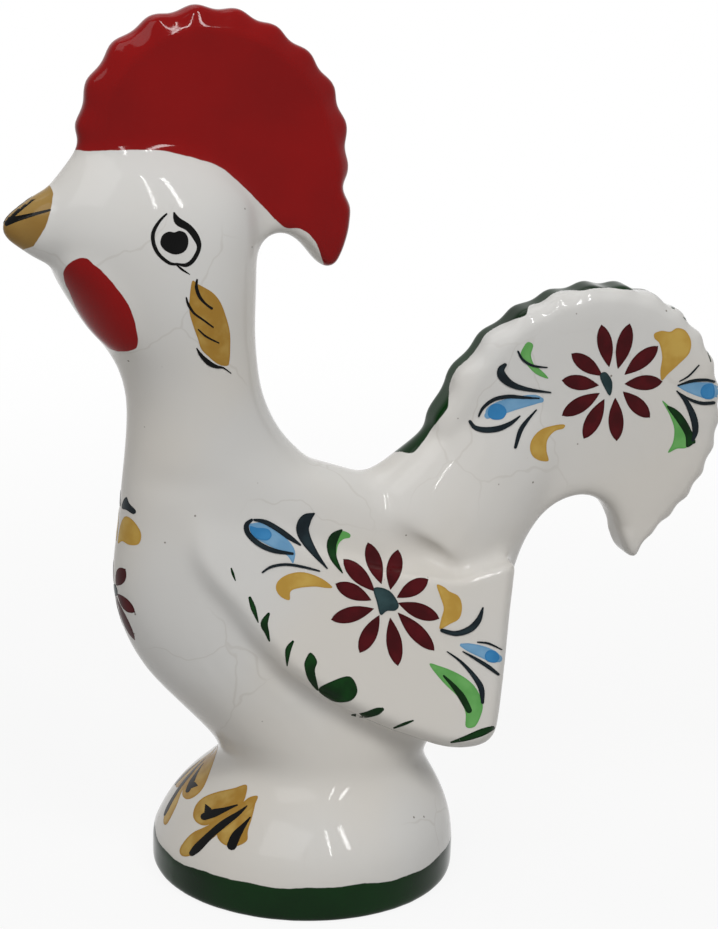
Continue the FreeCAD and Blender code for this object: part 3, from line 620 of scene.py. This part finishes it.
# Creases filled by growing the surface and shrinking it again
def filled_creases(points, quads):
    reach = int(CREASE_RADIUS_MM / VOXEL_MM) + SPARE_VOXELS
    for step in (CREASE_RADIUS_MM, -CREASE_RADIUS_MM):
        points, quads = grid_from(points, quads=quads, half_width=reach).convertToQuads(isovalue=step)
    return points, quads


# Smooth skin over every solid: its values, points and faces
def smooth_skin(field):
    points, quads = field.write(solid_union(field)).convertToQuads(isovalue=0.0)
    points, quads = filled_creases(points, quads)
    closed = field.read(grid_from(points, quads=quads))
    share = edge_share(field).astype(np.float32)
    smooth = blurred(closed, FINE_BLUR_MM) * share
    smooth += blurred(closed, SOFT_BLUR_MM) * (1 - share)
    smooth -= glaze_build_up(field)
    del closed, share
    points, quads = field.write(smooth).convertToQuads(isovalue=0.0)
    return smooth, field.settled(smooth, points.astype(float)), quads


# The node that each place on the skin belongs to
def nearest_nodes(field, places_mm):
    best = np.full(len(places_mm), np.inf)
    owner = np.zeros(len(places_mm), int)
    for index, node in enumerate(frame["nodes"]):
        points, triangles = node_triangles(node)
        distance = field.sample(field.read(grid_from(points, triangles=triangles)), places_mm)
        closer = distance < best
        best[closer] = distance[closer]
        owner[closer] = index
    return owner


# The smooth skin with what the painting needs: its normals, and where rays meet it
class Skin:
    def __init__(self):
        self.field = Field()
        self.values, self.points, self.quads = smooth_skin(self.field)
        self.normals = self.normals_at(self.points)
        self.owner = nearest_nodes(self.field, self.points[self.quads].mean(axis=1))
        self.tree = BVHTree.FromPolygons((self.points * MM).tolist(), self.quads.tolist())
        self.eye = np.array(TARGET + camera_axes()[2] * CAMERA_DISTANCE)

    def normals_at(self, places_mm):
        slope = self.field.slope(self.values, places_mm)
        return slope / np.linalg.norm(slope, axis=1)[:, None]

    # Where rays meet the skin, in mm
    def met(self, origins, rays):
        hits = [self.tree.ray_cast(Vector(start), Vector(ray))[0] for start, ray in zip(origins, rays)]
        return np.array([tuple(hit) if hit else (np.nan,) * 3 for hit in hits]) / MM

    # From the front, through steps to the side and up from a place on the skin
    def ahead(self, steps, centre):
        start = CAD_BOX[0][0] - MM
        origins = [(start, (centre[1] - side) * MM, (centre[2] + rise) * MM) for side, rise in steps]
        return self.met(origins, [(1, 0, 0)] * len(origins))

    # From the camera, through pixels of the photograph
    def behind(self, pixels):
        right, up, back = (np.array(axis) for axis in camera_axes())
        across = (pixels[:, 0] - PHOTO_WIDTH / 2) / FOCAL_PIXELS
        down = (pixels[:, 1] - PHOTO_HEIGHT / 2) / FOCAL_PIXELS
        rays = across[:, None] * right - down[:, None] * up - back
        return self.met([self.eye] * len(rays), rays)


def camera_axes():
    azimuth, elevation, roll = (math.radians(angle) for angle in
                                (CAMERA_AZIMUTH, CAMERA_ELEVATION, CAMERA_ROLL))
    level = math.cos(elevation)
    back = Vector((-math.sin(azimuth) * level, -math.cos(azimuth) * level, math.sin(elevation)))
    side = Vector((0, 0, 1)).cross(back).normalized()
    top = back.cross(side)
    right = side * math.cos(roll) + top * math.sin(roll)
    up = top * math.cos(roll) - side * math.sin(roll)
    return right, up, back


# Pixels of the photograph at which the camera sees places in mm
def seen_at(places_mm):
    right, up, back = (np.array(axis) for axis in camera_axes())
    relative = places_mm - np.array(TARGET) / MM
    depth = CAMERA_DISTANCE / MM - relative @ back
    u = PHOTO_WIDTH / 2 + FOCAL_PIXELS * (relative @ right) / depth
    v = PHOTO_HEIGHT / 2 - FOCAL_PIXELS * (relative @ up) / depth
    return np.stack([u, v], axis=1)


def added(name, data):
    item = bpy.data.objects.new(name, data)
    bpy.context.collection.objects.link(item)
    return item


def add_camera():
    data = bpy.data.cameras.new("camera")
    data.lens = LENS_MM
    data.sensor_width = SENSOR_MM
    data.sensor_height = SENSOR_MM
    data.sensor_fit = "VERTICAL"
    camera = added("camera", data)
    right, up, back = camera_axes()
    turn = Matrix((right, up, back)).transposed().to_4x4()
    camera.matrix_world = Matrix.Translation(TARGET + back * CAMERA_DISTANCE) @ turn
    bpy.context.scene.camera = camera


# Smooth curve through rows of numbers
def curve(rows, closed):
    rows = np.array(rows, float)
    count = len(rows)
    result = []
    for index in range(count if closed else count - 1):
        near = [index - 1, index, index + 1, index + 2]
        picks = [place % count if closed else min(max(place, 0), count - 1) for place in near]
        a, b, c, d = rows[picks]
        for step in range(CURVE_STEPS):
            t = step / CURVE_STEPS
            bend = 2 * a - 5 * b + 4 * c - d + t * (3 * b - a - 3 * c + d)
            result.append(b + 0.5 * t * (c - a + t * bend))
    if not closed:
        result.append(rows[-1])
    return np.array(result)


def from_crop(points, crop):
    return np.array(crop[:2], float) + np.array(points, float) / crop[2]


# Distance in pixels from points to an outline, positive inside it
def depth_inside(points, outline):
    nearest = np.full(len(points), np.inf)
    inside = np.zeros(len(points), bool)
    for start, end in zip(outline, np.roll(outline, -1, axis=0)):
        run = end - start
        share = np.clip((points - start) @ run / max(run @ run, SHORTEST_RUN), 0, 1)
        nearest = np.minimum(nearest, np.linalg.norm(points - start - share[:, None] * run, axis=1))
        crosses = (start[1] > points[:, 1]) != (end[1] > points[:, 1])
        if crosses.any():
            at = start[0] + (points[:, 1] - start[1]) / (run[1] or SHORTEST_RUN) * run[0]
            inside ^= crosses & (points[:, 0] < at)
    return np.where(inside, nearest, -nearest)


# How deep each place lies inside the outline of a colour, in mm
def colour_depth(places_mm, outline, crop):
    depths = depth_inside(seen_at(places_mm), curve(from_crop(outline, crop), True))
    return np.clip(depths / PIXELS_PER_MM, -DEPTH_LIMIT_MM, DEPTH_LIMIT_MM)


def green_band_depth(places_mm):
    turn = np.arctan2(places_mm[:, 1], places_mm[:, 0] - FOOT_CENTRE / MM)
    wobble = sum(size * np.sin(waves * turn + phase) for size, waves, phase in GREEN_WAVES)
    return GREEN_BAND_MM + GREEN_WOBBLE_MM * wobble - places_mm[:, 2]


# A smooth mesh with its own normals, and with the depths that its material reads
def smooth_mesh(name, points_mm, faces, normals, depths):
    mesh = bpy.data.meshes.new(name)
    mesh.from_pydata((points_mm * MM).tolist(), [], faces)
    mesh.update()
    mesh.polygons.foreach_set("use_smooth", np.ones(len(mesh.polygons), bool))
    for attribute, values in depths.items():
        data = mesh.attributes.new(attribute, "FLOAT", "POINT").data
        data.foreach_set("value", values.astype(np.float32))
    mesh.normals_split_custom_set_from_vertices(normals.tolist())
    return mesh


# One piece of the skin for each node, with the skin's own normals along the cuts
def skin_piece(node, faces, skin, colours):
    used, corners = np.unique(faces, return_inverse=True)
    depths = {name: values[used] for name, values in colours.items()}
    mesh = smooth_mesh(node + "_skin", skin.points[used], corners.reshape(-1, 4).tolist(),
                       skin.normals[used], depths)
    piece = added(node + "_skin", mesh)
    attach(piece, "root")
    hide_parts(node)
    return piece


def skin_pieces(skin):
    near_side = skin.points * (1, 0, 1) - np.abs(skin.points) * (0, 1, 0)
    wattles = colour_depth(near_side, WATTLE_OUTLINE, HEAD_CROP)
    wattles = np.minimum(wattles, -near_side[:, 1] - THROAT_GAP_MM)
    tail_edge_depth = colour_depth(skin.points, TAIL_EDGE_OUTLINE, TAIL_CROP)
    colours = {
        "red_depth": np.maximum(colour_depth(near_side, COMB_LINE, WHOLE_PHOTO), wattles),
        "ochre_depth": colour_depth(near_side, BEAK_OUTLINE, WHOLE_PHOTO),
        "green_depth": np.maximum(tail_edge_depth, green_band_depth(skin.points)),
    }
    return [skin_piece(node, skin.quads[skin.owner == index][:, ::-1], skin, colours)
            for index, node in enumerate(frame["nodes"]) if node != UNGLAZED_NODE]


# Outline of a brush stroke, with round ends
def brush_outline(rows):
    path = curve(rows, False)
    ahead = np.gradient(path[:, :2], axis=0)
    ahead /= np.linalg.norm(ahead, axis=1)[:, None]
    aside = np.stack([-ahead[:, 1], ahead[:, 0]], axis=1)
    middle, reach = path[:, :2], path[:, 2:3] / 2
    turns = np.radians(ROUND_END_ANGLES)[:, None]
    last = middle[-1] + reach[-1] * (np.cos(turns) * aside[-1] + np.sin(turns) * ahead[-1])
    first = middle[0] - reach[0] * (np.cos(turns) * aside[0] + np.sin(turns) * ahead[0])
    return np.vstack([middle + aside * reach, last, (middle - aside * reach)[::-1], first])


def petal_outline(petal, width):
    tip, root = (np.array(end, float) for end in petal)
    return brush_outline([(*(tip + (root - tip) * along), width * share)
                          for along, share in PETAL_PROFILE])


# An outline filled with small triangles, and each corner's distance from its edge
def filled(outline):
    low, high = outline.min(axis=0), outline.max(axis=0)
    columns = np.arange(low[0], high[0], FILL_SPACING)
    rows = np.arange(low[1], high[1], FILL_SPACING)
    lattice = np.stack(np.meshgrid(columns, rows), axis=-1).reshape(-1, 2)
    lattice = lattice[depth_inside(lattice, outline) > FILL_SPACING / 2]
    corners = [Vector(point) for point in np.vstack([outline, lattice])]
    rim = [list(range(len(outline)))]
    flat, _, triangles, _, _, _ = delaunay_2d_cdt(corners, [], rim, FILL_INSIDE_ONLY, FILL_MERGE)
    flat = np.array([tuple(point) for point in flat])
    return flat, np.array(triangles), np.maximum(depth_inside(flat, outline), 0) / PIXELS_PER_MM


def moved_round_foot(places_mm, degrees, rise_mm):
    turn = math.radians(degrees)
    x, y, z = (places_mm - (FOOT_CENTRE / MM, 0, 0)).T
    turned_x = x * math.cos(turn) - y * math.sin(turn)
    turned_y = x * math.sin(turn) + y * math.cos(turn)
    return np.stack([turned_x, turned_y, z], axis=1) + (FOOT_CENTRE / MM, 0, rise_mm)


# Enamel of one motif: a thin closed sheet for each shape, mirrored but for the one in the middle
class Enamel:
    def __init__(self, name, colour_name, layer):
        self.name = name
        self.material = enamel_material(colour_name)
        self.slot = ENAMEL_SLOT.get(colour_name, DEFAULT_SLOT)
        self.lift = ENAMEL_LIFT_MM + (layer - 1) * ENAMEL_LAYER_MM
        self.points, self.normals, self.faces, self.depths = [], [], [], []
        self.count = 0

    def lay(self, skin, outline, centre=None):
        flat, triangles, depth = filled(outline)
        places = skin.behind(flat) if centre is None else skin.ahead(flat / PIXELS_PER_MM, centre)
        spans = np.linalg.norm(places[triangles] - places[np.roll(triangles, 1, axis=1)], axis=2)
        kept = (np.nan_to_num(spans, nan=np.inf) < LONGEST_SPAN_MM).all(axis=1)
        if self.name != CENTRAL_MOTIF:
            kept &= (np.nan_to_num(places[triangles, 1], nan=np.inf) < -MIDDLE_GAP_MM).all(axis=1)
        triangles = triangles[kept]
        used, corners = np.unique(triangles, return_inverse=True)
        if not len(used):
            return
        places, depth, triangles = places[used], depth[used], corners.reshape(-1, 3)
        self.lay_sheet(skin, places, triangles, depth)
        if self.name != CENTRAL_MOTIF:
            far = places * (1, -1, 1)
            if self.name in FAR_FOOT_MOTIFS:
                far = moved_round_foot(far, FAR_FOOT_TURN, FAR_FOOT_RISE_MM)
            self.lay_sheet(skin, skin.field.settled(skin.values, far), triangles[:, ::-1], depth)

    def lay_sheet(self, skin, places, triangles, depth):
        normals = skin.normals_at(places)
        pillow = ENAMEL_PILLOW_MM * eased(depth, 0.0, ENAMEL_EDGE_MM)
        top = places + normals * (self.lift + pillow)[:, None]
        self.add(top, places - normals * ENAMEL_SUNK_MM, normals, triangles, depth)

    def add(self, top, bottom, normals, triangles, depth):
        a, b, c = (top[triangles[:, corner]] for corner in range(3))
        if np.cross(b - a, c - a).sum(axis=0) @ normals.sum(axis=0) < 0:
            triangles = triangles[:, ::-1]
        below = len(top)
        edges = {(start, end) for triangle in triangles.tolist()
                 for start, end in zip(triangle, triangle[1:] + triangle[:1])}
        border = [(end, start, start + below, end + below)
                  for start, end in edges if (end, start) not in edges]
        faces = triangles.tolist() + (triangles[:, ::-1] + below).tolist() + border
        self.faces += [tuple(corner + self.count for corner in face) for face in faces]
        self.points += [top, bottom]
        self.normals += [normals, -normals]
        self.depths += [depth, depth]
        self.count += 2 * below

    def finish(self):
        mesh = smooth_mesh(self.name, np.vstack(self.points), self.faces, np.vstack(self.normals),
                           {"edge_depth": np.concatenate(self.depths)})
        mesh.materials.append(self.material)
        piece = added(self.name, mesh)
        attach(piece, "root")


def blobs(rows):
    return curve(rows, True)


def tail_petal(petal):
    return petal_outline(petal, TAIL_PETAL_WIDTH)


def wing_petal(petal):
    return petal_outline(petal, WING_PETAL_WIDTH)


def front_petal(petal):
    return petal_outline(petal, FRONT_PETAL_WIDTH)


# The painted motifs: name, colour, layer, crop or view, kind of outline and its rows
def painted_motifs():
    strokes = brush_outline
    return [
        ("tail_petals", "wine", 1, TAIL_CROP, tail_petal, TAIL_PETALS),
        ("tail_heart", "teal", 2, TAIL_CROP, blobs, [TAIL_HEART]),
        ("tail_buds", "sky", 1, TAIL_CROP, strokes, TAIL_SKY_STROKES),
        ("tail_bud_dots", "blue", 2, TAIL_CROP, blobs, TAIL_BLUE_BLOBS),
        ("tail_sprigs", "ink", 3, TAIL_CROP, strokes, TAIL_INK_STROKES),
        ("tail_leaves", "leaf", 1, TAIL_CROP, blobs, TAIL_LEAF_BLOBS),
        ("tail_leaf_shades", "moss", 2, TAIL_CROP, blobs, TAIL_MOSS_BLOBS),
        ("tail_yellow_leaves", "yellow", 1, TAIL_CROP, blobs, TAIL_YELLOW_BLOBS),
        ("tail_rim_line", "moss", 1, TAIL_CROP, strokes, TAIL_LINE_STROKES),
        ("wing_petals", "wine", 1, WING_CROP, wing_petal, WING_PETALS),
        ("wing_heart", "teal", 2, WING_CROP, blobs, [WING_HEART]),
        ("wing_buds", "sky", 1, WING_CROP, strokes, WING_SKY_STROKES),
        ("wing_bud_dots", "blue", 2, WING_CROP, blobs, WING_BLUE_BLOBS),
        ("wing_sprigs", "ink", 3, WING_CROP, strokes, WING_INK_STROKES),
        ("wing_leaves", "leaf", 1, WING_CROP, blobs, WING_LEAF_BLOBS),
        ("wing_leaf_shades", "moss", 2, WING_CROP, strokes, WING_MOSS_STROKES),
        ("wing_yellow_leaves", "yellow", 1, WING_CROP, blobs, WING_YELLOW_BLOBS),
        ("wing_hem_strokes", "moss", 1, WING_CROP, strokes, HEM_STROKES),
        ("wing_hem_leaves", "moss", 1, WING_CROP, blobs, HEM_BLOBS),
        ("pupils", "black", 1, HEAD_CROP, blobs, EYE_BLOBS),
        ("eye_lines", "black", 1, HEAD_CROP, strokes, EYE_STROKES),
        ("cheek_feathers", "ochre", 1, HEAD_CROP, blobs, CHEEK_BLOBS),
        ("cheek_lines", "black", 2, HEAD_CROP, strokes, CHEEK_STROKES),
        ("beak_lines", "black", 1, WHOLE_PHOTO, strokes, BEAK_STROKES),
        ("chest_petals", "wine", 1, None, front_petal, FRONT_PETALS),
        ("chest_heart", "teal", 2, None, blobs, [FRONT_HEART]),
        ("chest_sprigs", "ink", 1, None, blobs, FRONT_INK_BLOBS),
        ("chest_yellow_leaves", "yellow", 1, None, blobs, FRONT_YELLOW_BLOBS),
        ("toes", "ochre", 1, FOOT_CROP, blobs, TOE_BLOBS),
        ("toe_lines", "black", 2, FOOT_CROP, strokes, TOE_LINE_STROKES),
    ]


def paint(skin):
    chest = skin.behind(np.array([CHEST_PIXEL], float))[0] * (1, 0, 1)
    for name, colour_name, layer, crop, outline, shapes in painted_motifs():
        enamel = Enamel(name, colour_name, layer)
        for rows in shapes:
            if crop:
                enamel.lay(skin, from_crop(outline(rows), crop))
            else:
                enamel.lay(skin, outline(rows) * PIXELS_PER_MM, chest)
        enamel.finish()


# The nodes of a material or a world, added one by one
class Nodes:
    def __init__(self, owner, output="ShaderNodeOutputMaterial"):
        self.owner = owner
        owner.use_nodes = True
        self.tree = owner.node_tree
        self.tree.nodes.clear()
        self.output = self.add(output)

    # A node with its settings, and its inputs by name, or by number as i0, i1 and so on
    def add(self, kind, settings=(), **inputs):
        node = self.tree.nodes.new(kind)
        for key, value in dict(settings).items():
            setattr(node, key, value)
        for key, value in inputs.items():
            numbered = key[0] == "i" and key[1:].isdigit()
            socket = node.inputs[int(key[1:]) if numbered else key.replace("_", " ")]
            if isinstance(value, bpy.types.NodeSocket):
                self.tree.links.new(value, socket)
            else:
                socket.default_value = value
        return node

    def place(self):
        return self.add("ShaderNodeTexCoord").outputs["Object"]

    def noise(self, scale, detail, output="Fac"):
        node = self.add("ShaderNodeTexNoise", Vector=self.place(), Scale=scale, Detail=detail)
        return node.outputs[output]

    def span(self, value, low, high, first=0.0, last=1.0):
        settings = {"interpolation_type": "SMOOTHSTEP"}
        return self.add("ShaderNodeMapRange", settings, Value=value, From_Min=low, From_Max=high,
                        To_Min=first, To_Max=last).outputs["Result"]

    def mix(self, share, first, second):
        node = self.add("ShaderNodeMix", {"data_type": "RGBA"}, i0=share, i6=first, i7=second)
        return node.outputs[2]

    def math(self, operation, first, second=0.0):
        return self.add("ShaderNodeMath", {"operation": operation}, i0=first, i1=second).outputs[0]

    def bump(self, height, strength, distance):
        node = self.add("ShaderNodeBump", Height=height, Strength=strength, Distance=distance)
        return node.outputs[0]

    def attribute(self, name):
        return self.add("ShaderNodeAttribute", {"attribute_name": name}).outputs["Fac"]

    def finish(self, shader):
        self.tree.links.new(shader.outputs[0], self.output.inputs["Surface"])
        return self.owner


def colour(name):
    return (*COLOURS[name], 1.0)


# A mottled area of coloured glaze, with a wavering border, laid over a colour
def glazed_area(nodes, under, name, attribute, waver):
    depth = nodes.math("ADD", nodes.attribute(attribute), waver)
    mottle = nodes.span(nodes.noise(*AREA_NOISE), *AREA_SPAN)
    body = nodes.mix(mottle, colour(name), colour(name + "_deep"))
    return nodes.mix(nodes.span(depth, *BORDER_SPAN_MM), under, body)


# Thin winding cracks in the glaze, in a few patches only
def hairlines(nodes):
    bend = nodes.noise(*CRACK_BEND_NOISE, output="Color")
    bent = nodes.add("ShaderNodeVectorMath", {"operation": "MULTIPLY_ADD"}, i0=bend, i1=CRACK_BEND,
                     i2=nodes.place())
    cells = nodes.add("ShaderNodeTexVoronoi", {"feature": "DISTANCE_TO_EDGE"},
                      Vector=bent.outputs[0], Scale=CRACK_SCALE).outputs["Distance"]
    patches = nodes.span(nodes.noise(*CRACK_PATCH_NOISE), *CRACK_PATCH_SPAN)
    return nodes.math("MULTIPLY", nodes.span(cells, *CRACK_SPAN), patches)


def pinholes(nodes):
    cells = nodes.add("ShaderNodeTexVoronoi", Vector=nodes.place(), Scale=PINHOLE_SCALE)
    return nodes.span(cells.outputs["Distance"], *PINHOLE_SPAN)


# White glaze, a little uneven, with faint cracks and pinholes
def white_glaze(nodes):
    mottle = nodes.span(nodes.noise(*MOTTLE_NOISE), *MOTTLE_SPAN)
    white = nodes.mix(mottle, colour("white"), colour("white_cool"))
    cracks = nodes.math("MULTIPLY", hairlines(nodes), CRACK_SHARE)
    white = nodes.mix(cracks, white, colour("stain"))
    return nodes.mix(nodes.math("MULTIPLY", pinholes(nodes), PINHOLE_SHARE), white, colour("speck"))


def glaze_material():
    nodes = Nodes(bpy.data.materials.new("glaze"))
    waver = nodes.math("SUBTRACT", nodes.noise(*BORDER_NOISE), BORDER_NOISE_MIDDLE)
    waver = nodes.math("MULTIPLY", waver, BORDER_WAVER_MM)
    shade = glazed_area(nodes, white_glaze(nodes), "green", "green_depth", waver)
    shade = glazed_area(nodes, shade, "red", "red_depth", waver)
    shade = glazed_area(nodes, shade, "beak", "ochre_depth", waver)
    ripples = nodes.math("MULTIPLY", nodes.noise(*RIPPLE_NOISE), RIPPLE_SHARE)
    height = nodes.math("ADD", nodes.noise(*WAVE_NOISE), ripples)
    shader = nodes.add("ShaderNodeBsdfPrincipled", Base_Color=shade,
                       Normal=nodes.bump(height, *GLAZE_BUMP), Roughness=GLAZE_ROUGHNESS,
                       Specular_IOR_Level=GLAZE_SPECULAR)
    return nodes.finish(shader)


def enamel_material(name):
    known = bpy.data.materials.get("enamel_" + name)
    if known:
        return known
    nodes = Nodes(bpy.data.materials.new("enamel_" + name))
    inner = nodes.span(nodes.attribute("edge_depth"), *STREAK_EDGE_MM)
    streak = nodes.span(nodes.noise(*STREAK_NOISE), *STREAK_SPAN)
    share = nodes.math("MULTIPLY", inner, streak)
    body = nodes.mix(share, colour(name + "_deep"), colour(name))
    normal = nodes.bump(nodes.noise(*ENAMEL_BUMP_NOISE), *ENAMEL_BUMP)
    shader = nodes.add("ShaderNodeBsdfPrincipled", Base_Color=body, Normal=normal,
                       Roughness=ENAMEL_ROUGHNESS, Specular_IOR_Level=ENAMEL_SPECULAR)
    return nodes.finish(shader)


def clay_material():
    nodes = Nodes(bpy.data.materials.new("bare_clay"))
    grain = nodes.noise(*CLAY_NOISE)
    body = nodes.mix(nodes.span(grain, *CLAY_SPAN), colour("clay"), colour("clay_deep"))
    shader = nodes.add("ShaderNodeBsdfPrincipled", Base_Color=body,
                       Normal=nodes.bump(grain, *CLAY_BUMP), Roughness=CLAY_ROUGHNESS)
    return nodes.finish(shader)


# 1 for the rays that see the white backdrop: the camera's, and those in gloss and glass
def backdrop_rays(nodes):
    rays = nodes.add("ShaderNodeLightPath").outputs
    seen = nodes.math("MAXIMUM", rays["Is Camera Ray"], rays["Is Glossy Ray"])
    return nodes.math("MAXIMUM", seen, rays["Is Transmission Ray"])


def floor_material():
    nodes = Nodes(bpy.data.materials.new("floor"))
    grain = nodes.span(nodes.noise(*FLOOR_NOISE), *FLOOR_SPAN)
    pale = nodes.mix(grain, colour("floor"), colour("floor_cool"))
    diffuse = nodes.add("ShaderNodeBsdfDiffuse", Color=pale)
    glow = nodes.add("ShaderNodeEmission", Color=colour("backdrop"), Strength=BACKDROP_STRENGTH)
    length = nodes.add("ShaderNodeVectorMath", {"operation": "LENGTH"}, i0=nodes.place())
    away = length.outputs["Value"]
    glow_share = nodes.span(away, FLOOR_FADE_START, FLOOR_FADE_END, FLOOR_GLOW_SHARE, 1.0)
    seen = nodes.math("MULTIPLY", backdrop_rays(nodes), glow_share)
    mixed = nodes.add("ShaderNodeMixShader", i0=seen, i1=diffuse.outputs[0], i2=glow.outputs[0])
    return nodes.finish(mixed)


def add_floor():
    mesh = bpy.data.meshes.new("floor")
    corners = [(-FLOOR_REACH, -FLOOR_REACH, 0), (FLOOR_REACH, -FLOOR_REACH, 0),
               (FLOOR_REACH, FLOOR_REACH, 0), (-FLOOR_REACH, FLOOR_REACH, 0)]
    mesh.from_pydata(corners, [], [(0, 1, 2, 3)])
    mesh.materials.append(floor_material())
    added("floor", mesh)


def add_world():
    nodes = Nodes(bpy.data.worlds.new("studio"), "ShaderNodeOutputWorld")
    room = nodes.add("ShaderNodeBackground", Color=colour("room"), Strength=ROOM_STRENGTH)
    white = nodes.add("ShaderNodeBackground", Color=colour("backdrop"), Strength=BACKDROP_STRENGTH)
    mixed = nodes.add("ShaderNodeMixShader", i0=backdrop_rays(nodes), i1=room.outputs[0],
                      i2=white.outputs[0])
    bpy.context.scene.world = nodes.finish(mixed)


# Softboxes: where each stands, where it points, its size and its power
def add_lamps():
    for name, place, aim, width, height, power in LAMPS:
        data = bpy.data.lights.new(name, "AREA")
        data.shape = "RECTANGLE"
        data.size, data.size_y = width, height
        data.energy = power
        lamp = added(name, data)
        lamp.location = place
        lamp.rotation_euler = (Vector(aim) - Vector(place)).to_track_quat("-Z", "Y").to_euler()


def dress(pieces):
    glaze = glaze_material()
    for piece in pieces:
        piece.data.materials.append(glaze)
    clay = clay_material()
    floor_node = frame["nodes"][UNGLAZED_NODE]
    for slot in floor_node.material_slots:
        slot.material = clay


skin = Skin()
glazed = skin_pieces(skin)
dress(glazed)
paint(skin)
add_floor()
add_world()
add_lamps()
add_camera()
bpy.context.scene.view_settings.view_transform = "Standard"
